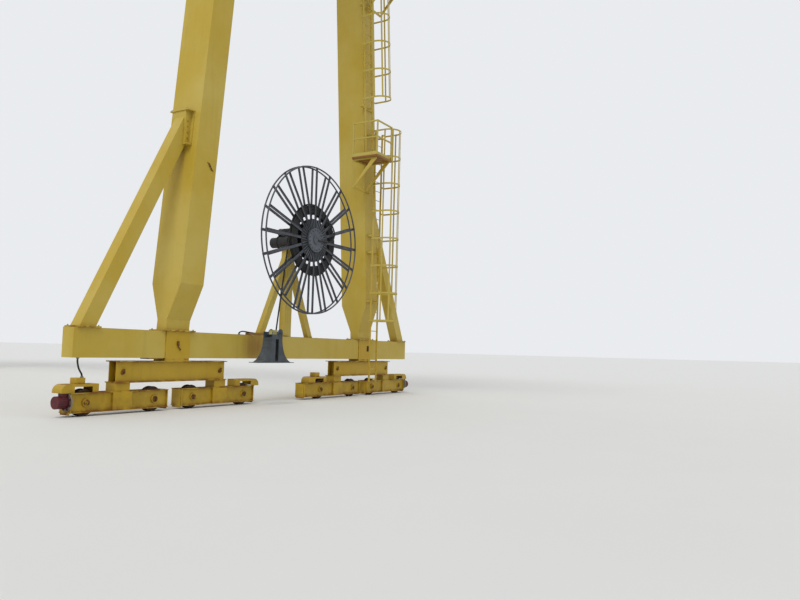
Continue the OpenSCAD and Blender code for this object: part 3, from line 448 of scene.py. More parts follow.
def solids(node):
    """The lowest and highest corner of each separate solid of a CAD node, hollows left out."""
    bm = merged(node)
    left = set(bm.verts)
    boxes = []
    while left:
        reached = {left.pop()}
        edge = list(reached)
        while edge:
            near = {e.other_vert(v) for v in edge for e in v.link_edges} - reached
            reached |= near
            edge = list(near)
        left -= reached
        boxes.append((Vector([min(v.co[i] for v in reached) for i in range(3)]),
                      Vector([max(v.co[i] for v in reached) for i in range(3)])))
    bm.free()
    whole = [b for b in boxes if not any(a is not b and within(b, a) for a in boxes)]
    return sorted(whole, key=lambda b: (round(b[0].y, 2), round(b[0].x, 2)))


def section(node, at, normal):
    """The outlines where a plane cuts a CAD node, each a list of points in order round it."""
    bm = merged(node)
    cut = bmesh.ops.bisect_plane(bm, geom=bm.verts[:] + bm.edges[:] + bm.faces[:],
                                 plane_co=at, plane_no=normal, clear_inner=True,
                                 clear_outer=True)["geom_cut"]
    beside = {}
    for edge in (g for g in cut if isinstance(g, bmesh.types.BMEdge)):
        a, b = edge.verts
        beside.setdefault(a, []).append(b)
        beside.setdefault(b, []).append(a)
    loops = []
    while beside:
        start = next(iter(beside))
        loop, here = [], start
        while here in beside:
            loop.append(here.co.copy())
            onward = [v for v in beside.pop(here) if v in beside]
            here = onward[0] if onward else None
        loops.append(loop)
    bm.free()
    return loops


class Shape:
    """Collects solids into one mesh."""

    def __init__(self):
        self.bm = bmesh.new()

    def box(self, corner, opposite):
        """A box between two opposite corners, whichever of them is lower."""
        low, high = (Vector([pick(pair) for pair in zip(corner, opposite)]) for pick in (min, max))
        size = Matrix.Diagonal((*(high - low), 1))
        bmesh.ops.create_cube(self.bm, size=1, matrix=Matrix.Translation((low + high) / 2) @ size)

    def centred(self, at, size):
        """A box of a size about its middle."""
        half = Vector(size) / 2
        self.box(Vector(at) - half, Vector(at) + half)

    def rod(self, a, b, radius, sides, end_radius=None):
        """A round bar between two places, tapered if end_radius is given."""
        a, b = Vector(a), Vector(b)
        turn = (b - a).to_track_quat("Z", "Y").to_matrix().to_4x4()
        bmesh.ops.create_cone(self.bm, cap_ends=True, segments=sides, radius1=radius,
                              radius2=radius if end_radius is None else end_radius,
                              depth=(b - a).length,
                              matrix=Matrix.Translation((a + b) / 2) @ turn)

    def bolt(self, at, axis, size):
        """A washer, a hexagon head of that width and the thread's end, standing off a face."""
        at, axis = Vector(at), Vector(axis).normalized()
        foot = 0
        for top, radius, sides in BOLT:
            self.rod(at + axis * size * foot, at + axis * size * top, size * radius, sides)
            foot = top

    def bolts_round(self, centre, axis, ring, count, size):
        """A circle of bolts, of that radius."""
        axis = Vector(axis).normalized()
        arm = axis.orthogonal().normalized() * ring
        for i in range(count):
            turned = Quaternion(axis, math.tau * (i + 0.5) / count) @ arm
            self.bolt(Vector(centre) + turned, axis, size)

    def join(self, ring, onward):
        """Faces between two rings of as many points."""
        for j in range(len(ring)):
            k = (j + 1) % len(ring)
            self.bm.faces.new((ring[j], onward[j], onward[k], ring[k]))

    def lathe(self, centre, axis, profile, sides=48):
        """Turns (radius, height) points about an axis; the profile closes on itself."""
        turn = Vector(axis).to_track_quat("Z", "Y").to_matrix().to_4x4()
        place = Matrix.Translation(Vector(centre)) @ turn
        rings = []
        for i in range(sides):
            a = math.tau * i / sides
            rings.append([self.bm.verts.new(place @ Vector((r * math.cos(a), r * math.sin(a), h)))
                          for r, h in profile])
        for i, ring in enumerate(rings):
            self.join(ring, rings[(i + 1) % sides])

    def ring(self, centre, axis, radius, thick, sides, around):
        """A round bar bent to a circle; thick is the bar's radius."""
        steps = [math.tau * j / around for j in range(around)]
        self.lathe(centre, axis, [(radius + thick * math.cos(s), thick * math.sin(s))
                                  for s in steps], sides)

    def tube(self, points, radius, sides=8, closed=False):
        """A round run through points; radius is one number, or one for each point."""
        points = [Vector(p) for p in points]
        count = len(points)
        radii = radius if isinstance(radius, list) else [radius] * count
        rings = []
        side = None
        for i, point in enumerate(points):
            if closed:
                ahead = points[(i + 1) % count] - points[i - 1]
            else:
                ahead = points[min(i + 1, count - 1)] - points[max(i - 1, 0)]
            ahead.normalize()
            side = ahead.orthogonal() if side is None else side - ahead * side.dot(ahead)
            side.normalize()
            up = ahead.cross(side)
            rings.append([self.bm.verts.new(point + radii[i] * (side * math.cos(math.tau * j / sides)
                                                                + up * math.sin(math.tau * j / sides)))
                          for j in range(sides)])
        for i in range(count if closed else count - 1):
            self.join(rings[i], rings[(i + 1) % count])
        if not closed:
            self.bm.faces.new(rings[0])
            self.bm.faces.new(rings[-1])

    def make(self, name, body, finish, bevel=0.0, smooth=False):
        """Turns what was collected into a piece that rides on a body."""
        bmesh.ops.recalc_face_normals(self.bm, faces=self.bm.faces)
        mesh = bpy.data.meshes.new(name)
        self.bm.to_mesh(mesh)
        self.bm.free()
        if smooth:
            mesh.polygons.foreach_set("use_smooth", [True] * len(mesh.polygons))
        mesh.materials.append(finish)
        piece = bpy.data.objects.new(name, mesh)
        bpy.context.scene.collection.objects.link(piece)
        if bevel:
            rounded = piece.modifiers.new("edges", "BEVEL")
            rounded.width = bevel
            rounded.segments = 2
            rounded.limit_method = "ANGLE"
        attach(piece, body)
        return piece


def catmull(points, steps):
    """A smooth run through points, with that many steps between two of them."""
    points = [Vector(p) for p in points]
    ends = [points[0] * 2 - points[1]] + points + [points[-1] * 2 - points[-2]]
    run = []
    for i in range(1, len(ends) - 2):
        p0, p1, p2, p3 = ends[i - 1:i + 3]
        for k in range(steps):
            t = k / steps
            run.append(0.5 * (2 * p1 + (p2 - p0) * t + (2 * p0 - 5 * p1 + 4 * p2 - p3) * t * t
                              + (3 * p1 - p0 - 3 * p2 + p3) * t ** 3))
    return run + [points[-1]]


# Portal

LEGS = [f"{side}_{hand}_leg" for side in SIDES for hand in ("left", "right")]
LEG_SEAMS = (13.4, 17.2)
GIRDERS = (("left_girder", -1), ("right_girder", 1))
GIRDER_SEAMS = (-13.2, -6.6, 6.6, 13.2)
BASE_PLATE = 0.03
PLATE_TOP = SILL[1].z + BASE_PLATE
BEAD = 0.007
BEAD_Z = PLATE_TOP + 0.006
SADDLES = solids("saddles")
CORNERS = [((low.x + high.x) / 2, (low.y + high.y) / 2) for low, high in SADDLES]
SADDLE_OUT = (SADDLES[0][1].y - SADDLES[0][0].y) / 2


def weld_beads():
    """Beads round the plate joints of legs and girders, and where legs and struts meet plates."""
    cuts = [(leg, (0, 0, z), UP) for leg in LEGS for z in (BEAD_Z, *LEG_SEAMS)]
    cuts += [(girder, (0, y, 0), INWARD) for girder, _ in GIRDERS for y in GIRDER_SEAMS]
    cuts.append(("struts", (0, 0, BEAD_Z), UP))
    beads = Shape()
    for node, at, normal in cuts:
        for loop in section(node, at, normal):
            beads.tube(loop, BEAD, 6, closed=True)
    beads.make("weld_beads", "portal", PAINT, smooth=True)


STRUT_X = 6.295
LEG_BOLT_X = (-0.43, -0.22, 0, 0.22, 0.43)
STRUT_BOLT_X = (-0.21, 0.21)
BASE_BOLT_Y = (-0.2, 0.2)


def base_bolts():
    """Bolts through the base plates of legs and struts."""
    bolts = Shape()
    for x, y in CORNERS:
        strut_x = math.copysign(STRUT_X, x)
        for foot, row, size in ((x, LEG_BOLT_X, 0.028), (strut_x, STRUT_BOLT_X, 0.026)):
            for dx in row:
                for dy in BASE_BOLT_Y:
                    bolts.bolt((foot + dx, y + dy, PLATE_TOP), UP, size)
    bolts.make("base_bolts", "portal", LOW_PAINT)


# Bolts in the stubs on the legs that take the struts' heads
STUB_BOLT_X = 3.985
STUB_BOLT_Z = (6.3, 6.43, 6.57, 6.7)
STUB_HALF = 0.2
FLANGE_BOLT_X = (3.975, 4.065)
FLANGE_BOLT_Y = 0.25
FLANGE_TOP = 6.975


def strut_head_bolts():
    """Bolts through the sides of the stubs that take the struts' heads, and their flanges."""
    bolts = Shape()
    for x, y in CORNERS:
        side = math.copysign(1, x)
        for z in STUB_BOLT_Z:
            for s in (-1, 1):
                bolts.bolt((side * STUB_BOLT_X, y + s * STUB_HALF, z), (0, s, 0), size=0.026)
        for bolt_x in FLANGE_BOLT_X:
            for s in (-1, 1):
                bolts.bolt((side * bolt_x, y + s * FLANGE_BOLT_Y, FLANGE_TOP), UP, size=0.026)
    bolts.make("strut_head_bolts", "portal", LOW_PAINT)


PIN_OUT = 0.03
KEEPER = 0.014


def pin_end(shape, at, out, radius):
    """The end of a pivot pin with its keeper plate and two bolts."""
    end = at + out * PIN_OUT
    shape.rod(at, end, radius, 24, radius * 0.9)
    keeper = end + Vector((radius * 0.55, 0, radius * 0.75))
    shape.centred(keeper, (radius * 1.1, KEEPER, radius * 2.4))
    for dz in (-radius * 0.8, radius * 0.8):
        shape.bolt(keeper + out * KEEPER / 2 + Vector((0, 0, dz)), out, size=0.016)


WHEELS = [j for j in frame["record"]["behaviour"]["joints"] if "_wheel_" in j["name"]]
WHEEL_X = sorted({j["pos_m"][0] for j in WHEELS})
PIVOT_X = [(a + b) / 2 for a, b in zip(WHEEL_X[::2], WHEEL_X[1::2])]
PIVOT_Z = 0.86
PIN_R = 0.042
EQUALIZER_FACE = 0.118
BEARING_FACE = 0.165
COVER_R, COVER_OUT = 0.066, 0.012
SHAFT_R, SHAFT_OUT = 0.03, 0.024


def pins():
    """Pins of the equalizers and bogies, and the wheels' axle covers."""
    pivots = Shape()
    for y in SIDE_Y.values():
        for x in PIVOT_X:
            for out in (OUTWARD, INWARD):
                pin_end(pivots, Vector((x, y, PIVOT_Z)) + out * EQUALIZER_FACE, out, PIN_R)
    pivots.make("pivot_pins", "portal", RUSTY)
    covers = Shape()
    for joint in WHEELS:
        for out in (OUTWARD, INWARD):
            at = Vector(joint["pos_m"]) + out * BEARING_FACE
            covers.rod(at, at + out * COVER_OUT, COVER_R, 32)
            covers.rod(at, at + out * SHAFT_OUT, SHAFT_R, 20, SHAFT_R * 0.8)
            covers.bolts_round(at + out * COVER_OUT, out, ring=0.05, count=6, size=0.014)
    covers.make("axle_covers", "portal", CLEAT)


# The lug's block, and its hook from the saddle's middle, the cheek's face and the floor
LUG_X, LUG_OUT, LUG_Z = (-0.035, 0.015), 0.035, (1.46, 1.56)
LUG_HOOK = ((-0.01, 0.02, 1.47), (0.0, 0.03, 1.42), (0.05, 0.03, 1.375), (0.075, 0.006, 1.365))
LUG_ROD_R = 0.012


def saddle_lugs():
    """A small hooked lug on each left saddle's outer cheek."""
    lugs = Shape()
    for x, y in CORNERS:
        if x > 0:
            continue
        out = math.copysign(1, y)
        face = y + out * SADDLE_OUT
        lugs.box((x + LUG_X[0], face, LUG_Z[0]), (x + LUG_X[1], face + out * LUG_OUT, LUG_Z[1]))
        lugs.tube(catmull([(x + dx, face + out * dy, z) for dx, dy, z in LUG_HOOK], 5), LUG_ROD_R, 8)
    lugs.make("saddle_lugs", "portal", RUSTY)


# Stiffeners between the flanges of the bogies' cheeks, from the bogie's end and middle
STIFFENER_IN, STIFFENER = 0.012, 0.014
STIFFENER_Y, STIFFENER_Z = (0.128, 0.172), (0.093, 0.457)
DRIVE_FLANGE = 0.03
DRIVE_AXIS_UP = 0.18
DRIVE_BOLT_RING = 0.153


def bogie_trim():
    """Stiffeners at the ends of the bogies' cheeks, and bolts on the travel drives."""
    trim = Shape()
    for side in SIDES:
        for low, high in solids(f"{side}_bogies"):
            y = (low.y + high.y) / 2
            for face in (-1, 1):
                inner, outer = (y + face * out for out in STIFFENER_Y)
                for end, inward in ((low.x, 1), (high.x, -1)):
                    x = end + inward * STIFFENER_IN
                    trim.box((x, inner, STIFFENER_Z[0]), (x + inward * STIFFENER, outer, STIFFENER_Z[1]))
    trim.make("bogie_stiffeners", "portal", LOW_PAINT)
    bolts = Shape()
    for low, high in solids("travel_motors"):
        end = math.copysign(1, low.x)
        face_x = end * (min(abs(low.x), abs(high.x)) + DRIVE_FLANGE)
        at = (face_x, (low.y + high.y) / 2, low.z + DRIVE_AXIS_UP)
        bolts.bolts_round(at, (end, 0, 0), DRIVE_BOLT_RING, count=8, size=0.022)
    bolts.make("drive_bolts", "portal", DARK_STEEL_AND_HOLE_SHADE)


def slab(shape, outline, y, depth):
    """A flat plate of an (x, z) outline, from y and that deep."""
    front = [shape.bm.verts.new((x, y, z)) for x, z in outline]
    back = [shape.bm.verts.new((x, y + depth, z)) for x, z in outline]
    shape.bm.faces.new(front)
    shape.bm.faces.new(back)
    shape.join(front, back)


# Outline of the leg's hole in X and Z, and the span of the saddle's
HATCH = [(-3.57, 5.8), (-3.5, 5.785), (-3.385, 5.62), (-3.455, 5.64)]
HATCH_TRIM_R = 0.012
HOLE_X, HOLE_Z = (4.06, 4.2), (1.42, 1.6)
OPENING = 0.004


def leg_hatches():
    """Painted shade for the slanting hole in each left leg's outer face and the hole in each right
    saddle: thin dark sheets over them.
    """
    hole_shades = Shape()
    trims = Shape()
    for side in SIDES:
        out = OUT[side]
        leg = section(f"{side}_left_leg", (0, 0, HATCH[0][1]), UP)[0]
        face = (min if out < 0 else max)(p.y for p in leg)
        # A thin dark sheet over the hole's outline, painted shade for its inside
        slab(hole_shades, HATCH, face - out * OPENING / 2, out * OPENING)
        rim = [(x, face + out * HATCH_TRIM_R / 2, z) for x, z in (HATCH[0], HATCH[3], HATCH[2])]
        trims.tube(rim, HATCH_TRIM_R, 8)
    for x, y in CORNERS:
        if x > 0:
            face = y + math.copysign(SADDLE_OUT, y)
            # A thin dark box, painted shade for the saddle's hole
            hole_shades.box((HOLE_X[0], face - OPENING, HOLE_Z[0]), (HOLE_X[1], face + OPENING, HOLE_Z[1]))
    hole_shades.make("hatch_hole_shades", "portal", DARK_STEEL_AND_HOLE_SHADE)
    trims.make("hatch_trims", "portal", CLEAT, smooth=True)


def loose_cable(name, points, radius, body="portal"):
    """A cable that hangs free between two places on the crane."""
    path = catmull(points, 10)
    cable = Shape()
    cable.tube(path, radius, 10)
    piece = cable.make(name, body, CABLE, smooth=True)


def gland(shape, at, towards, radius):
    """A gland nut on a face, with a thinner cap nut on top, that a cable comes out of."""
    at, towards = Vector(at), Vector(towards)
    nut, cap = at + towards * 0.018, at + towards * 0.032
    shape.rod(at, nut, radius * 1.9, 6)
    shape.rod(nut, cap, radius * 1.6, 20, radius * 1.25)


# The jacking pads are the lowest of the sill's node, and the sill's own underside is over them
PAD_DEPTH = 0.03
# Only the cover with the terminal box reaches so high, and the box is in from the cover's middle
BOXED_COVER_Z = 0.7
BOX_IN = 0.12
DRIVE_CABLE_R, SILL_CABLE_R = 0.018, 0.016
# Where the cable leaves the sill's top, and its bends from there
SILL_CABLE_AT = (-1.88, SILL[0].y + 0.05, SILL[1].z)
SILL_CABLE = ((0, 0, 0.002), (0, 0, 0.042), (0.1, 0, 0.08), (0.24, 0.01, 0.078), (0.38, 0.02, 0.066),
              (0.56, 0.03, 0.056), (0.68, 0.03, 0.044))


def cables():
    """The cable from the sill to the first drive's terminal box, and the one lying on the sill."""
    cover = next(b for b in solids("wheel_covers") if b[0].y < 0 and b[1].z > BOXED_COVER_Z)
    y, under, top = SIDE_Y["near"], SILL[0].z + PAD_DEPTH, cover[1].z
    start = (cover[0].x + cover[1].x) / 2
    end = start + BOX_IN
    loose_cable("drive_cable", [(start, y, under), (start + 0.002, y, under - 0.1),
                                (start + 0.04, y, under - 0.23), (end - 0.012, y, top + 0.07),
                                (end, y, top)], DRIVE_CABLE_R)
    bends = [tuple(a + b for a, b in zip(SILL_CABLE_AT, bend)) for bend in SILL_CABLE]
    loose_cable("sill_cable", bends, SILL_CABLE_R)
    glands = Shape()
    gland(glands, (start, y, under), (0, 0, -1), DRIVE_CABLE_R)
    gland(glands, (end, y, top), UP, DRIVE_CABLE_R)
    gland(glands, SILL_CABLE_AT, UP, SILL_CABLE_R)
    glands.make("cable_glands", "portal", GREY_PAINT)


# Cable reel

COIL = solids("reel_windings")[0]
COIL_OUT = (COIL[1].x - COIL[0].x) / 2
COIL_W = COIL[1].y - COIL[0].y
CABLE_R = 0.0195
LAYERS = 6
COIL_IN = COIL_OUT - 2 * CABLE_R * LAYERS
UNEVEN = 0.002


def reel_windings():
    """The wound cable, turn by turn, each layer a little uneven; turns that can't show are left out."""
    coil = Shape()
    across = int(COIL_W / (2 * CABLE_R))
    for layer in range(LAYERS):
        for turn in range(across):
            if 0 < layer < LAYERS - 1 and 0 < turn < across - 1:
                continue
            radius = COIL_IN + CABLE_R * (1 + 2 * layer) + random.uniform(-UNEVEN, UNEVEN)
            y = (turn - (across - 1) / 2) * (COIL_W - 2 * CABLE_R) / (across - 1)
            coil.ring(REEL_AT + OUTWARD * y, OUTWARD, radius, CABLE_R, 96, 8)
    half = COIL_W / 2 - CABLE_R
    coil.lathe(REEL_AT, OUTWARD, [(COIL_IN + CABLE_R, -half), (COIL_OUT - CABLE_R, -half),
                                  (COIL_OUT - CABLE_R, half), (COIL_IN + CABLE_R, half)], 64)
    piece = coil.make("reel_windings_turns", "reel", CABLE, smooth=True)
    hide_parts("reel_windings")


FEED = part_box("feed_cable")
WRAP_ANGLE = math.radians(262)
WRAP_STEPS = 80
WRAP_LAP = 0.003
SINKS_FROM = 0.88


def feed_wrap():
    """The last turn of the feed cable, which lies on the coil and sinks in among the others."""
    wrap = Shape()
    y = (FEED[0].y + FEED[1].y) / 2
    top = max(v.co.z for v in frame["nodes"]["feed_cable"].data.vertices)
    start = math.pi - math.asin((top - REEL_AT.z - WRAP_LAP) / (COIL_OUT + CABLE_R))
    path, radii = [], []
    for i in range(WRAP_STEPS + 1):
        share = i / WRAP_STEPS
        sunk = max(0.0, (share - SINKS_FROM) / (1 - SINKS_FROM))
        radii.append(CABLE_R * (1 - 0.8 * sunk))
        r = COIL_OUT + 0.001 + radii[-1]
        a = start - share * WRAP_ANGLE
        path.append((REEL_AT.x + r * math.cos(a), y, REEL_AT.z + r * math.sin(a)))
    wrap.tube(path, radii, 12)
    wrap.make("feed_cable_wrap", "portal", CABLE, smooth=True)


# The flanges as the part has them: spokes, hub plates with lips, and rims
SPOKES = 20
SPOKE_HALF = 0.033
PLATE_OUT = 0.072
LIP_H = 0.02
LIP_FROM, LIP_TO = 0.335, 0.575
RIM_R = 0.021
RIM_OUT = 0.075
CLAMP_HALF = 0.03
CLAMP_WALL = 0.0035


def reel_ribs():
    """The spokes' lips carried on over both hub plates, and a clamp where each spoke meets its rims."""
    ribs = Shape()
    clamps = Shape()
    low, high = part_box("reel_front_flange")
    rim = (high.x - low.x) / 2 - RIM_R
    for i in range(SPOKES):
        a = math.tau * i / SPOKES
        spoke = Vector((math.cos(a), 0, math.sin(a)))
        across = Vector((-math.sin(a), 0, math.cos(a)))
        for out in (INWARD, OUTWARD):
            face = REEL_AT + out * (PLATE_OUT + LIP_H / 2)
            for edge in (-SPOKE_HALF, SPOKE_HALF):
                lip = face + across * edge
                ribs.rod(lip + spoke * LIP_FROM, lip + spoke * LIP_TO, LIP_H * 0.55, 4)
            at = REEL_AT + spoke * rim + out * RIM_OUT
            clamps.rod(at - across * CLAMP_HALF, at + across * CLAMP_HALF, RIM_R + CLAMP_WALL, 16)
            clamps.bolt(at - spoke * 0.06 + out * 0.003, out, size=0.02)
    ribs.make("reel_ribs", "reel", HUB_ZINC)
    clamps.make("reel_rim_clamps", "reel", ZINC)


BOSS_OUT = 0.03
BOSS = ((0.0, 0), (0.12, 0), (0.12, 0.02), (0.095, BOSS_OUT), (0.0, BOSS_OUT))

# The lead's bends, from the reel's middle
LEAD = ((0.05, -0.165, -0.01), (0.3, -0.16, 0.0), (0.52, -0.125, 0.02), (0.68, -0.125, 0.05),
        (0.79, -0.135, 0.13), (0.84, -0.135, 0.25), (0.82, -0.135, 0.38), (0.74, -0.13, 0.5),
        (0.62, -0.115, 0.58), (0.5, -0.08, 0.62))
CLIPPED = LEAD[2:9:2]


def reel_hub_trim():
    """Bolts and boss on the hub's cap, and the lead from the boss to the coil."""
    trim = Shape()
    face = Vector((REEL_AT.x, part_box("reel_hub")[0].y, REEL_AT.z))
    trim.bolts_round(face, OUTWARD, ring=0.28, count=16, size=0.028)
    trim.lathe(face, OUTWARD, BOSS, 40)
    trim.bolts_round(face + OUTWARD * BOSS_OUT, OUTWARD, ring=0.07, count=8, size=0.016)
    trim.make("reel_hub_bolts", "reel", HUB_ZINC)
    lead = Shape()
    lead.tube(catmull([REEL_AT + Vector(p) for p in LEAD], 6), CABLE_R, 10)
    lead.make("reel_lead", "reel", CABLE, smooth=True)
    clips = Shape()
    for point in CLIPPED:
        at = REEL_AT + Vector(point)
        clips.rod(at - OUTWARD * 0.045, at + OUTWARD * 0.012, 0.009, 8)
        clips.ring(at, (1, 0, 0.4), CABLE_R + 0.003, 0.006, 20, 6)
    clips.make("reel_lead_clips", "reel", HUB_ZINC)


# The reel's drive as the part has it, and how far its motor's trim reaches from the back end
DRIVE_BACK = Vector((REEL_AT.x, REEL_AT.y + 1.4, REEL_AT.z))
CAP_BOLT_RING = 0.12
CAP_BOSS = ((0.0, 0), (0.07, 0), (0.07, 0.012), (0.055, 0.02), (0.0, 0.02))
MOTOR_AT = DRIVE_BACK + Vector((0, -0.26, 0.27))
MOTOR_R = 0.11
FINS = 28
FIN_FROM, FIN_TO = 0.16, 0.55
COWL_FROM, COWL_TO, COWL_WALL = 0.045, 0.15, 0.011
GRILLE_PITCH = 0.022


def reel_drive_trim():
    """Cooling fins, cowl and fan grille of the reel's motor, and bolts on the drive's end cap."""
    trim = Shape()
    for i in range(FINS):
        a = math.tau * i / FINS
        fin = MOTOR_AT + Vector((math.cos(a), 0, math.sin(a))) * (MOTOR_R + 0.002)
        trim.rod(fin + OUTWARD * FIN_FROM, fin + OUTWARD * FIN_TO, 0.008, 4)
    trim.rod(MOTOR_AT + OUTWARD * COWL_FROM, MOTOR_AT + OUTWARD * COWL_TO, MOTOR_R + COWL_WALL, 40)
    for i in range(1, 5):
        trim.ring(MOTOR_AT - OUTWARD * 0.002, OUTWARD, i * GRILLE_PITCH, 0.003, 32, 6)
    trim.bolts_round(DRIVE_BACK, INWARD, CAP_BOLT_RING, count=8, size=0.022)
    trim.lathe(DRIVE_BACK, INWARD, CAP_BOSS, 32)
    trim.make("reel_drive_trim", "portal", BLACK_PAINT)


# Cable guide

# The guide as the part has it: its middle, front face and mouth
GUIDE_X = -1.36
GUIDE_FRONT = GUIDE_LOW.y + 0.02
GUIDE_DEPTH = 0.3
LIP_EDGE = 0.008
LIP_Z = (GUIDE_LOW.z + 0.002, GUIDE_LOW.z + 0.016)
LIP_BACK = GUIDE_LOW.y + 0.34
ROLLER_PLATE_R, ROLLER_PLATE = 0.1, 0.01
SWITCH = (0.17, 0.12, 0.1)
SWITCH_LID = (0.185, 0.135, 0.012)


def guide_trim():
    """Pale edge along the mouth's lip, plates that hold the rollers, and the limit switch."""
    lip = Shape()
    lip.box((GUIDE_LOW.x, GUIDE_LOW.y, LIP_Z[0]), (GUIDE_HIGH.x, GUIDE_LOW.y + LIP_EDGE, LIP_Z[1]))
    lip.box((GUIDE_LOW.x, GUIDE_LOW.y, LIP_Z[0]), (GUIDE_LOW.x + LIP_EDGE, LIP_BACK, LIP_Z[1]))
    lip.make("guide_lip", "portal", LAMP)
    plates = Shape()
    for y, out in ((GUIDE_FRONT, OUTWARD), (GUIDE_FRONT + GUIDE_DEPTH, INWARD)):
        at = Vector((GUIDE_X + 0.1, y, GUIDE_HIGH.z - 0.025))
        face = at + out * ROLLER_PLATE
        plates.rod(at, face, ROLLER_PLATE_R, 40)
        plates.bolt(face, out, size=0.045)
        for dx in (-0.06, 0.06):
            plates.bolt(face + Vector((dx, 0, -0.03)), out, size=0.02)
    plates.make("roller_plates", "portal", GUIDE_PAINT, bevel=0.002)
    switch = Shape()
    at = Vector((GUIDE_X - 0.11, GUIDE_FRONT + 0.06, GUIDE_HIGH.z - 0.02))
    switch.centred(at, SWITCH)
    switch.centred(at + Vector((0, 0, 0.055)), SWITCH_LID)
    switch.rod(at + Vector((0.08, -0.02, 0.0)), at + Vector((0.14, -0.03, 0.05)), 0.012, 10)
    for dx in (-0.07, 0.07):
        for dy in (-0.045, 0.045):
            switch.bolt(at + Vector((dx, dy, 0.061)), UP, size=0.012)
    switch.make("guide_switch", "portal", SWITCH_PAINT, bevel=0.004)


# Girders and hoist

SPLICE = 0.014
SPLICE_HALF = 0.3
SPLICE_Z = (0.12, 1.28)
SPLICE_BOLT_Y = (-0.22, -0.1, 0.1, 0.22)
SPLICE_BOLT_Z = [0.2 + row * 0.125 for row in range(9)]


def splice_plates():
    """Bolted splice plates on the girders' outer sides, at the two middle seams."""
    plates = Shape()
    bolts = Shape()
    for girder, out in GIRDERS:
        low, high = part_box(girder)
        face = low.x if out < 0 else high.x
        outer = face + out * SPLICE
        for y in GIRDER_SEAMS[1:3]:
            plates.box((face, y - SPLICE_HALF, low.z + SPLICE_Z[0]),
                       (outer, y + SPLICE_HALF, low.z + SPLICE_Z[1]))
            for up in SPLICE_BOLT_Z:
                for dy in SPLICE_BOLT_Y:
                    bolts.bolt((outer, y + dy, low.z + up), (out, 0, 0), size=0.028)
    plates.make("splice_plates", "portal", PAINT, bevel=0.002)
    bolts.make("splice_bolts", "portal", LOW_PAINT)


GLASS_SIZE = (0.36, 0.24, 0.016)
BEZEL = 0.03
BEZEL_X, BEZEL_Y = 0.195, 0.135


def lamp_glasses():
    """The floodlights' glasses and their bezels, facing down."""
    glass = Shape()
    bezel = Shape()
    for low, high in solids("floodlights"):
        at = Vector(((low.x + high.x) / 2, (low.y + high.y) / 2, low.z))
        glass.centred(at, GLASS_SIZE)
        for s in (-1, 1):
            bezel.centred(at + Vector((s * BEZEL_X, 0, 0)), (BEZEL, 2 * BEZEL_Y + BEZEL, 0.024))
        for s in (-1, 1):
            bezel.centred(at + Vector((0, s * BEZEL_Y, 0)), (2 * BEZEL_X + BEZEL, BEZEL, 0.024))
    glass.make("lamp_glasses", "portal", GLASS, bevel=0.003)
    bezel.make("lamp_bezels", "portal", LAMP, bevel=0.002)


FALL_R = 0.014
ROPE_R = 0.013
ROPE_PITCH = 0.029
ROPE_TURNS = 9
DRUM_FLANGE = 0.06


def drum_turns():
    """Turns of rope on the hoist drum, side by side, inwards from where the falls leave it."""
    low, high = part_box("hoist_drum")
    centre = Vector((0, (low.y + high.y) / 2, (low.z + high.z) / 2))
    drum = (high.z - low.z) / 2 - DRUM_FLANGE
    start = max(high.x for low, high in solids("hoist_ropes")) - FALL_R
    turns = Shape()
    for side in (-1, 1):
        for i in range(ROPE_TURNS):
            at = centre + Vector((side * (start - i * ROPE_PITCH), 0, 0))
            turns.ring(at, (1, 0, 0), drum + ROPE_R + 0.0015, ROPE_R, 64, 8)
    turns.make("drum_ropes", "portal", ROPE, smooth=True)


TREAD_PITCH = 0.5
TREAD_W, TREAD_H = 0.05, 0.012
TREAD_IN = 0.03


def walkway_treads():
    """Raised bars across the walkways' decks."""
    treads = Shape()
    for low, high in solids("walkways"):
        count = int((high.y - low.y) / TREAD_PITCH)
        step = (high.y - low.y - 2 * TREAD_IN) / count
        x, z = (low.x + high.x) / 2, high.z + TREAD_H / 2
        for i in range(count + 1):
            treads.centred((x, low.y + TREAD_IN + i * step, z), (high.x - low.x - 0.1, TREAD_W, TREAD_H))
    treads.make("walkway_treads", "portal", LOW_PAINT)


ANGLE_IN, ANGLE_W, ANGLE_H = 0.02, 0.044, 0.03
BEARERS = 4


def platform_frames():
    """Edge angles and bearer bars under the rest platforms."""
    bars = Shape()
    for low, high in solids("rest_platforms"):
        x, y, z = (low.x + high.x) / 2, (low.y + high.y) / 2, low.z + 0.012
        wide, deep = high.x - low.x, high.y - low.y
        for edge in (low.x + ANGLE_IN, high.x - ANGLE_IN):
            bars.centred((edge, y, z), (ANGLE_W, deep, ANGLE_H))
        for edge in (low.y + ANGLE_IN, high.y - ANGLE_IN):
            bars.centred((x, edge, z), (wide, ANGLE_W, ANGLE_H))
        for i in range(1, BEARERS + 1):
            bearer_x = low.x + i * wide / (BEARERS + 1)
            bars.centred((bearer_x, y, low.z + 0.004), (0.02, deep - 0.06, ANGLE_H))
    bars.make("platform_frames", "portal", UNDER_PAINT, bevel=0.002)


for dress in (weld_beads, base_bolts, strut_head_bolts, pins, bogie_trim, leg_hatches, saddle_lugs,
              cables, reel_windings, feed_wrap, reel_ribs, reel_hub_trim, reel_drive_trim, guide_trim,
              splice_plates, lamp_glasses, drum_turns, walkway_treads, platform_frames):
    dress()


# Studio

FLOOR_REACH = 600
PALE = srgb(226, 226, 223)
SKY = (0.95, 0.97, 1.0, 1)
SKY_LIGHT, SKY_SEEN = 0.62, 0.86


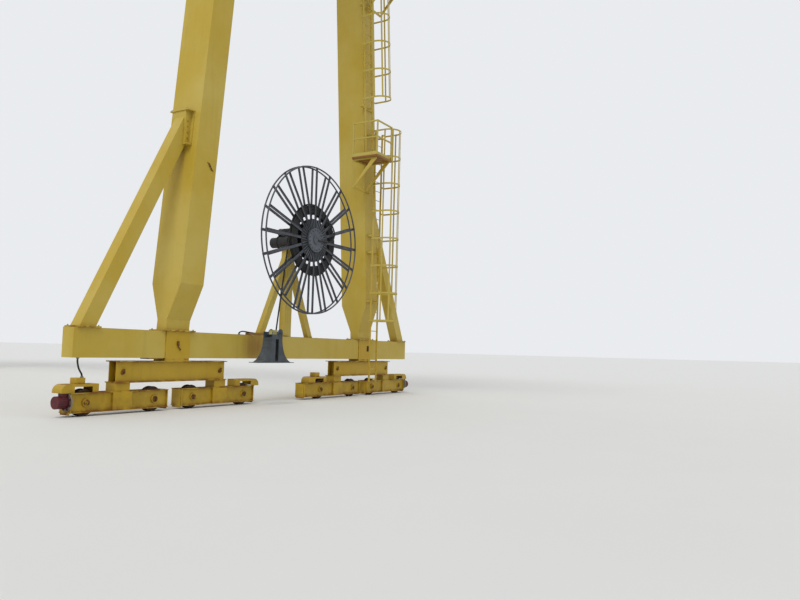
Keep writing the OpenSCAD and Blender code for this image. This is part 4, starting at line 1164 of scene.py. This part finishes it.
def floor():
    """A wide pale disc at the crane's feet."""
    mesh = bpy.data.meshes.new("floor")
    bm = bmesh.new()
    bmesh.ops.create_circle(bm, cap_ends=True, segments=96, radius=FLOOR_REACH)
    bm.to_mesh(mesh)
    bm.free()
    piece = bpy.data.objects.new("floor", mesh)
    bpy.context.scene.collection.objects.link(piece)
    f = Finish("floor", roughness=0.9, specular=0.1)
    colour = f.mix(f.ramp(f.noise(0.6, 3), 0.3, 0.7, 0, 0.15), PALE, shade(PALE, 0.94))
    mesh.materials.append(f.finish(colour))


def world():
    """An even sky, which looks paler to the camera and in reflections than it lights."""
    sky = bpy.data.worlds.new("studio")
    bpy.context.scene.world = sky
    sky.use_nodes = True
    tree = sky.node_tree
    background = tree.nodes["Background"]
    rays = tree.nodes.new("ShaderNodeLightPath")
    seen = tree.nodes.new("ShaderNodeMath")
    seen.operation = "MAXIMUM"
    tree.links.new(rays.outputs["Is Camera Ray"], seen.inputs[0])
    tree.links.new(rays.outputs["Is Glossy Ray"], seen.inputs[1])
    strength = tree.nodes.new("ShaderNodeMapRange")
    tree.links.new(seen.outputs[0], strength.inputs["Value"])
    strength.inputs["To Min"].default_value = SKY_LIGHT
    strength.inputs["To Max"].default_value = SKY_SEEN
    tree.links.new(strength.outputs[0], background.inputs["Strength"])
    background.inputs["Color"].default_value = SKY


def sun(name, azimuth, height, energy, softness):
    """A lamp far off; the angles are in degrees, and azimuth runs from +X towards +Y."""
    data = bpy.data.lights.new(name, "SUN")
    data.energy = energy
    data.angle = math.radians(softness)
    lamp = bpy.data.objects.new(name, data)
    bpy.context.scene.collection.objects.link(lamp)
    a, e = math.radians(azimuth), math.radians(height)
    towards = Vector((math.cos(a) * math.cos(e), math.sin(a) * math.cos(e), math.sin(e)))
    lamp.rotation_mode = "QUATERNION"
    lamp.rotation_quaternion = towards.to_track_quat("Z", "Y")


floor()
world()
sun("key", azimuth=200, height=50, energy=1.25, softness=30)
sun("fill", azimuth=60, height=40, energy=0.3, softness=60)
bpy.context.scene.view_settings.view_transform = "Standard"
